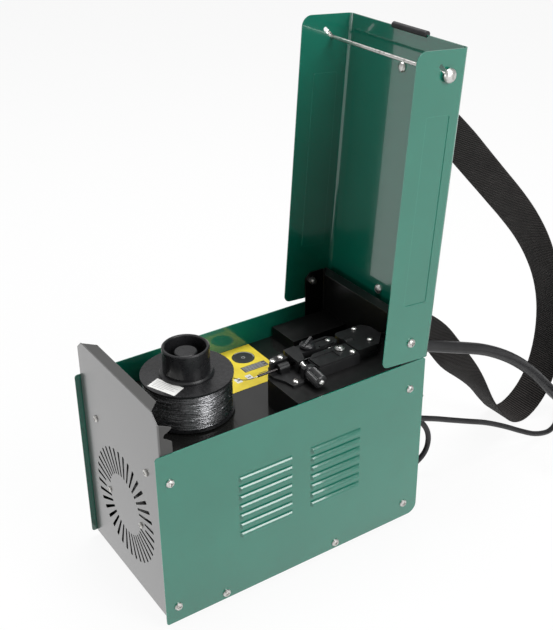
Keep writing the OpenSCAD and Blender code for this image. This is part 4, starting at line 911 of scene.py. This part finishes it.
on_label(box(-40, 8, 92, 83), SHEET, YELLOW)
on_label(arc(*DISC, 13.5, 0, 352.5, 47), FIRST, INK)
# painted highlight: the first ring, a pale arc on the disc's upper side from -25° to 115°, stands for the
# disc's gloss; the other two rings are print
for r_out, r_in, a0, a1, index in (
    (12.9, 11.9, -25, 115, PALE),
    (11.3, 10.9, 0, 348, GREY),
    (2.3, 1.5, 0, 340, PALE),
):
    on_label(arc(*DISC, r_out, a0, a1, 30) + arc(*DISC, r_in, a1, a0, 30), SECOND, index)
on_label(box(14.5, 37.5, 32, 11.5), FIRST, GREY)
for k in range(4):
    on_label(box(16, 39 + 2.5 * k, 29 - 3 * (k % 2), 1), SECOND, PALE)
for x in (-5, 9.5):
    on_label(box(x, 22.5, 7, 9.5), FIRST, WHITE)
    on_label(box(x + 1.6, 26.2, 3.8, 1.6), SECOND, INK)
for x, y in ((26, 24), (26, 27), (-30, 40), (-30, 44)):
    on_label(box(x, y, 11, 0.9), FIRST, INK)
label = mesh_object("deck_label", bm, yellow, ink, white, pale_print_and_highlight, grey)
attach(label, "machine")

# the sticker on the spool's flange: a white slip with plain bars
bm = bmesh.new()
FLANGE_Z = 228.5 + 0.02
corners = [(-31.7, 5.9), (-17.9, -26.1), (-35.4, -35.0), (-49.2, -2.0)]
corners = [Vector((SPOOL[0] + x, SPOOL[1] + y)) for x, y in corners]


def on_sticker(s, t):
    a = corners[0].lerp(corners[1], s)
    b = corners[3].lerp(corners[2], s)
    q = a.lerp(b, t)
    return (q[0], q[1])


def sticker_bar(s0, s1, t0, t1, z0, z1, index):
    outline = [on_sticker(s0, t0), on_sticker(s1, t0), on_sticker(s1, t1), on_sticker(s0, t1)]
    flat_shape(bm, outline, z0, z1, index)


sticker_bar(0, 1, 0.02, 0.92, FLANGE_Z, FLANGE_Z + 0.12, 0)
for i, s1 in enumerate((0.62, 0.9, 0.8, 0.9, 0.55)):
    t = 0.2 + 0.13 * i
    sticker_bar(0.08, s1, t, t + 0.035, FLANGE_Z + 0.12, FLANGE_Z + 0.15, 1)
sticker = mesh_object("spool_sticker", bm, white, pale_print_and_highlight)
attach(sticker, "spool")

# ---------------------------------------------------------------- studio
FLOOR = 12  # half the floor's side, in metres
floor_me = bpy.data.meshes.new("floor")
floor_me.from_pydata(
    [(-FLOOR, -FLOOR, 0), (FLOOR, -FLOOR, 0), (FLOOR, FLOOR, 0), (-FLOOR, FLOOR, 0)],
    [],
    [(0, 1, 2, 3)],
)
floor = add_object("floor", floor_me)
fm, nt, b = tree("floor_white")
b.inputs["Base Color"].default_value = (0.9, 0.9, 0.9, 1)
b.inputs["Roughness"].default_value = 0.9
b.inputs["Specular IOR Level"].default_value = 0.0
em = node(nt, "ShaderNodeEmission", Strength=1.0)
mixer = nt.nodes.new("ShaderNodeMixShader")
lp = nt.nodes.new("ShaderNodeLightPath")

# the camera and what shines see a plain white floor, and the rest of it takes the shadow
seen = calc(
    nt, "MAXIMUM", calc(nt, "MULTIPLY", lp.outputs["Is Camera Ray"], 0.92), lp.outputs["Is Glossy Ray"]
)
nt.links.new(seen, mixer.inputs["Fac"])
nt.links.new(b.outputs["BSDF"], mixer.inputs[1])
nt.links.new(em.outputs["Emission"], mixer.inputs[2])
nt.links.new(mixer.outputs["Shader"], nt.nodes["Material Output"].inputs["Surface"])
floor_me.materials.append(fm)

world = bpy.data.worlds.new("studio")
bpy.context.scene.world = world
world.use_nodes = True
wt = world.node_tree
bg = wt.nodes["Background"]
bg.inputs["Color"].default_value = (1, 1, 1, 1)
lp = wt.nodes.new("ShaderNodeLightPath")
total = 0.12  # what the world lights the object with; the rays below see more of it
for ray, more in (("Is Camera Ray", 0.84), ("Is Glossy Ray", 0.38), ("Is Transmission Ray", 0.88)):
    total = calc(wt, "MULTIPLY_ADD", lp.outputs[ray], more, total)
wt.links.new(total, bg.inputs["Strength"])


def area(name, place, target, size, power):
    d = bpy.data.lights.new(name, "AREA")
    d.shape = "RECTANGLE"
    d.size, d.size_y = size
    d.energy = power
    o = add_object(name, d)
    o.location = place
    o.rotation_euler = (Vector(target) - Vector(place)).to_track_quat("-Z", "Y").to_euler()


area("key_box", (0.55, -1.95, 1.35), (0, 0, 0.25), (1.1, 1.9), 48)
area("top_box", (0.3, 0.5, 2.2), (0, 0, 0.3), (1.4, 1.4), 42)
area("left_box", (-2.0, -0.2, 0.7), (0, 0, 0.2), (1.0, 0.8), 7)
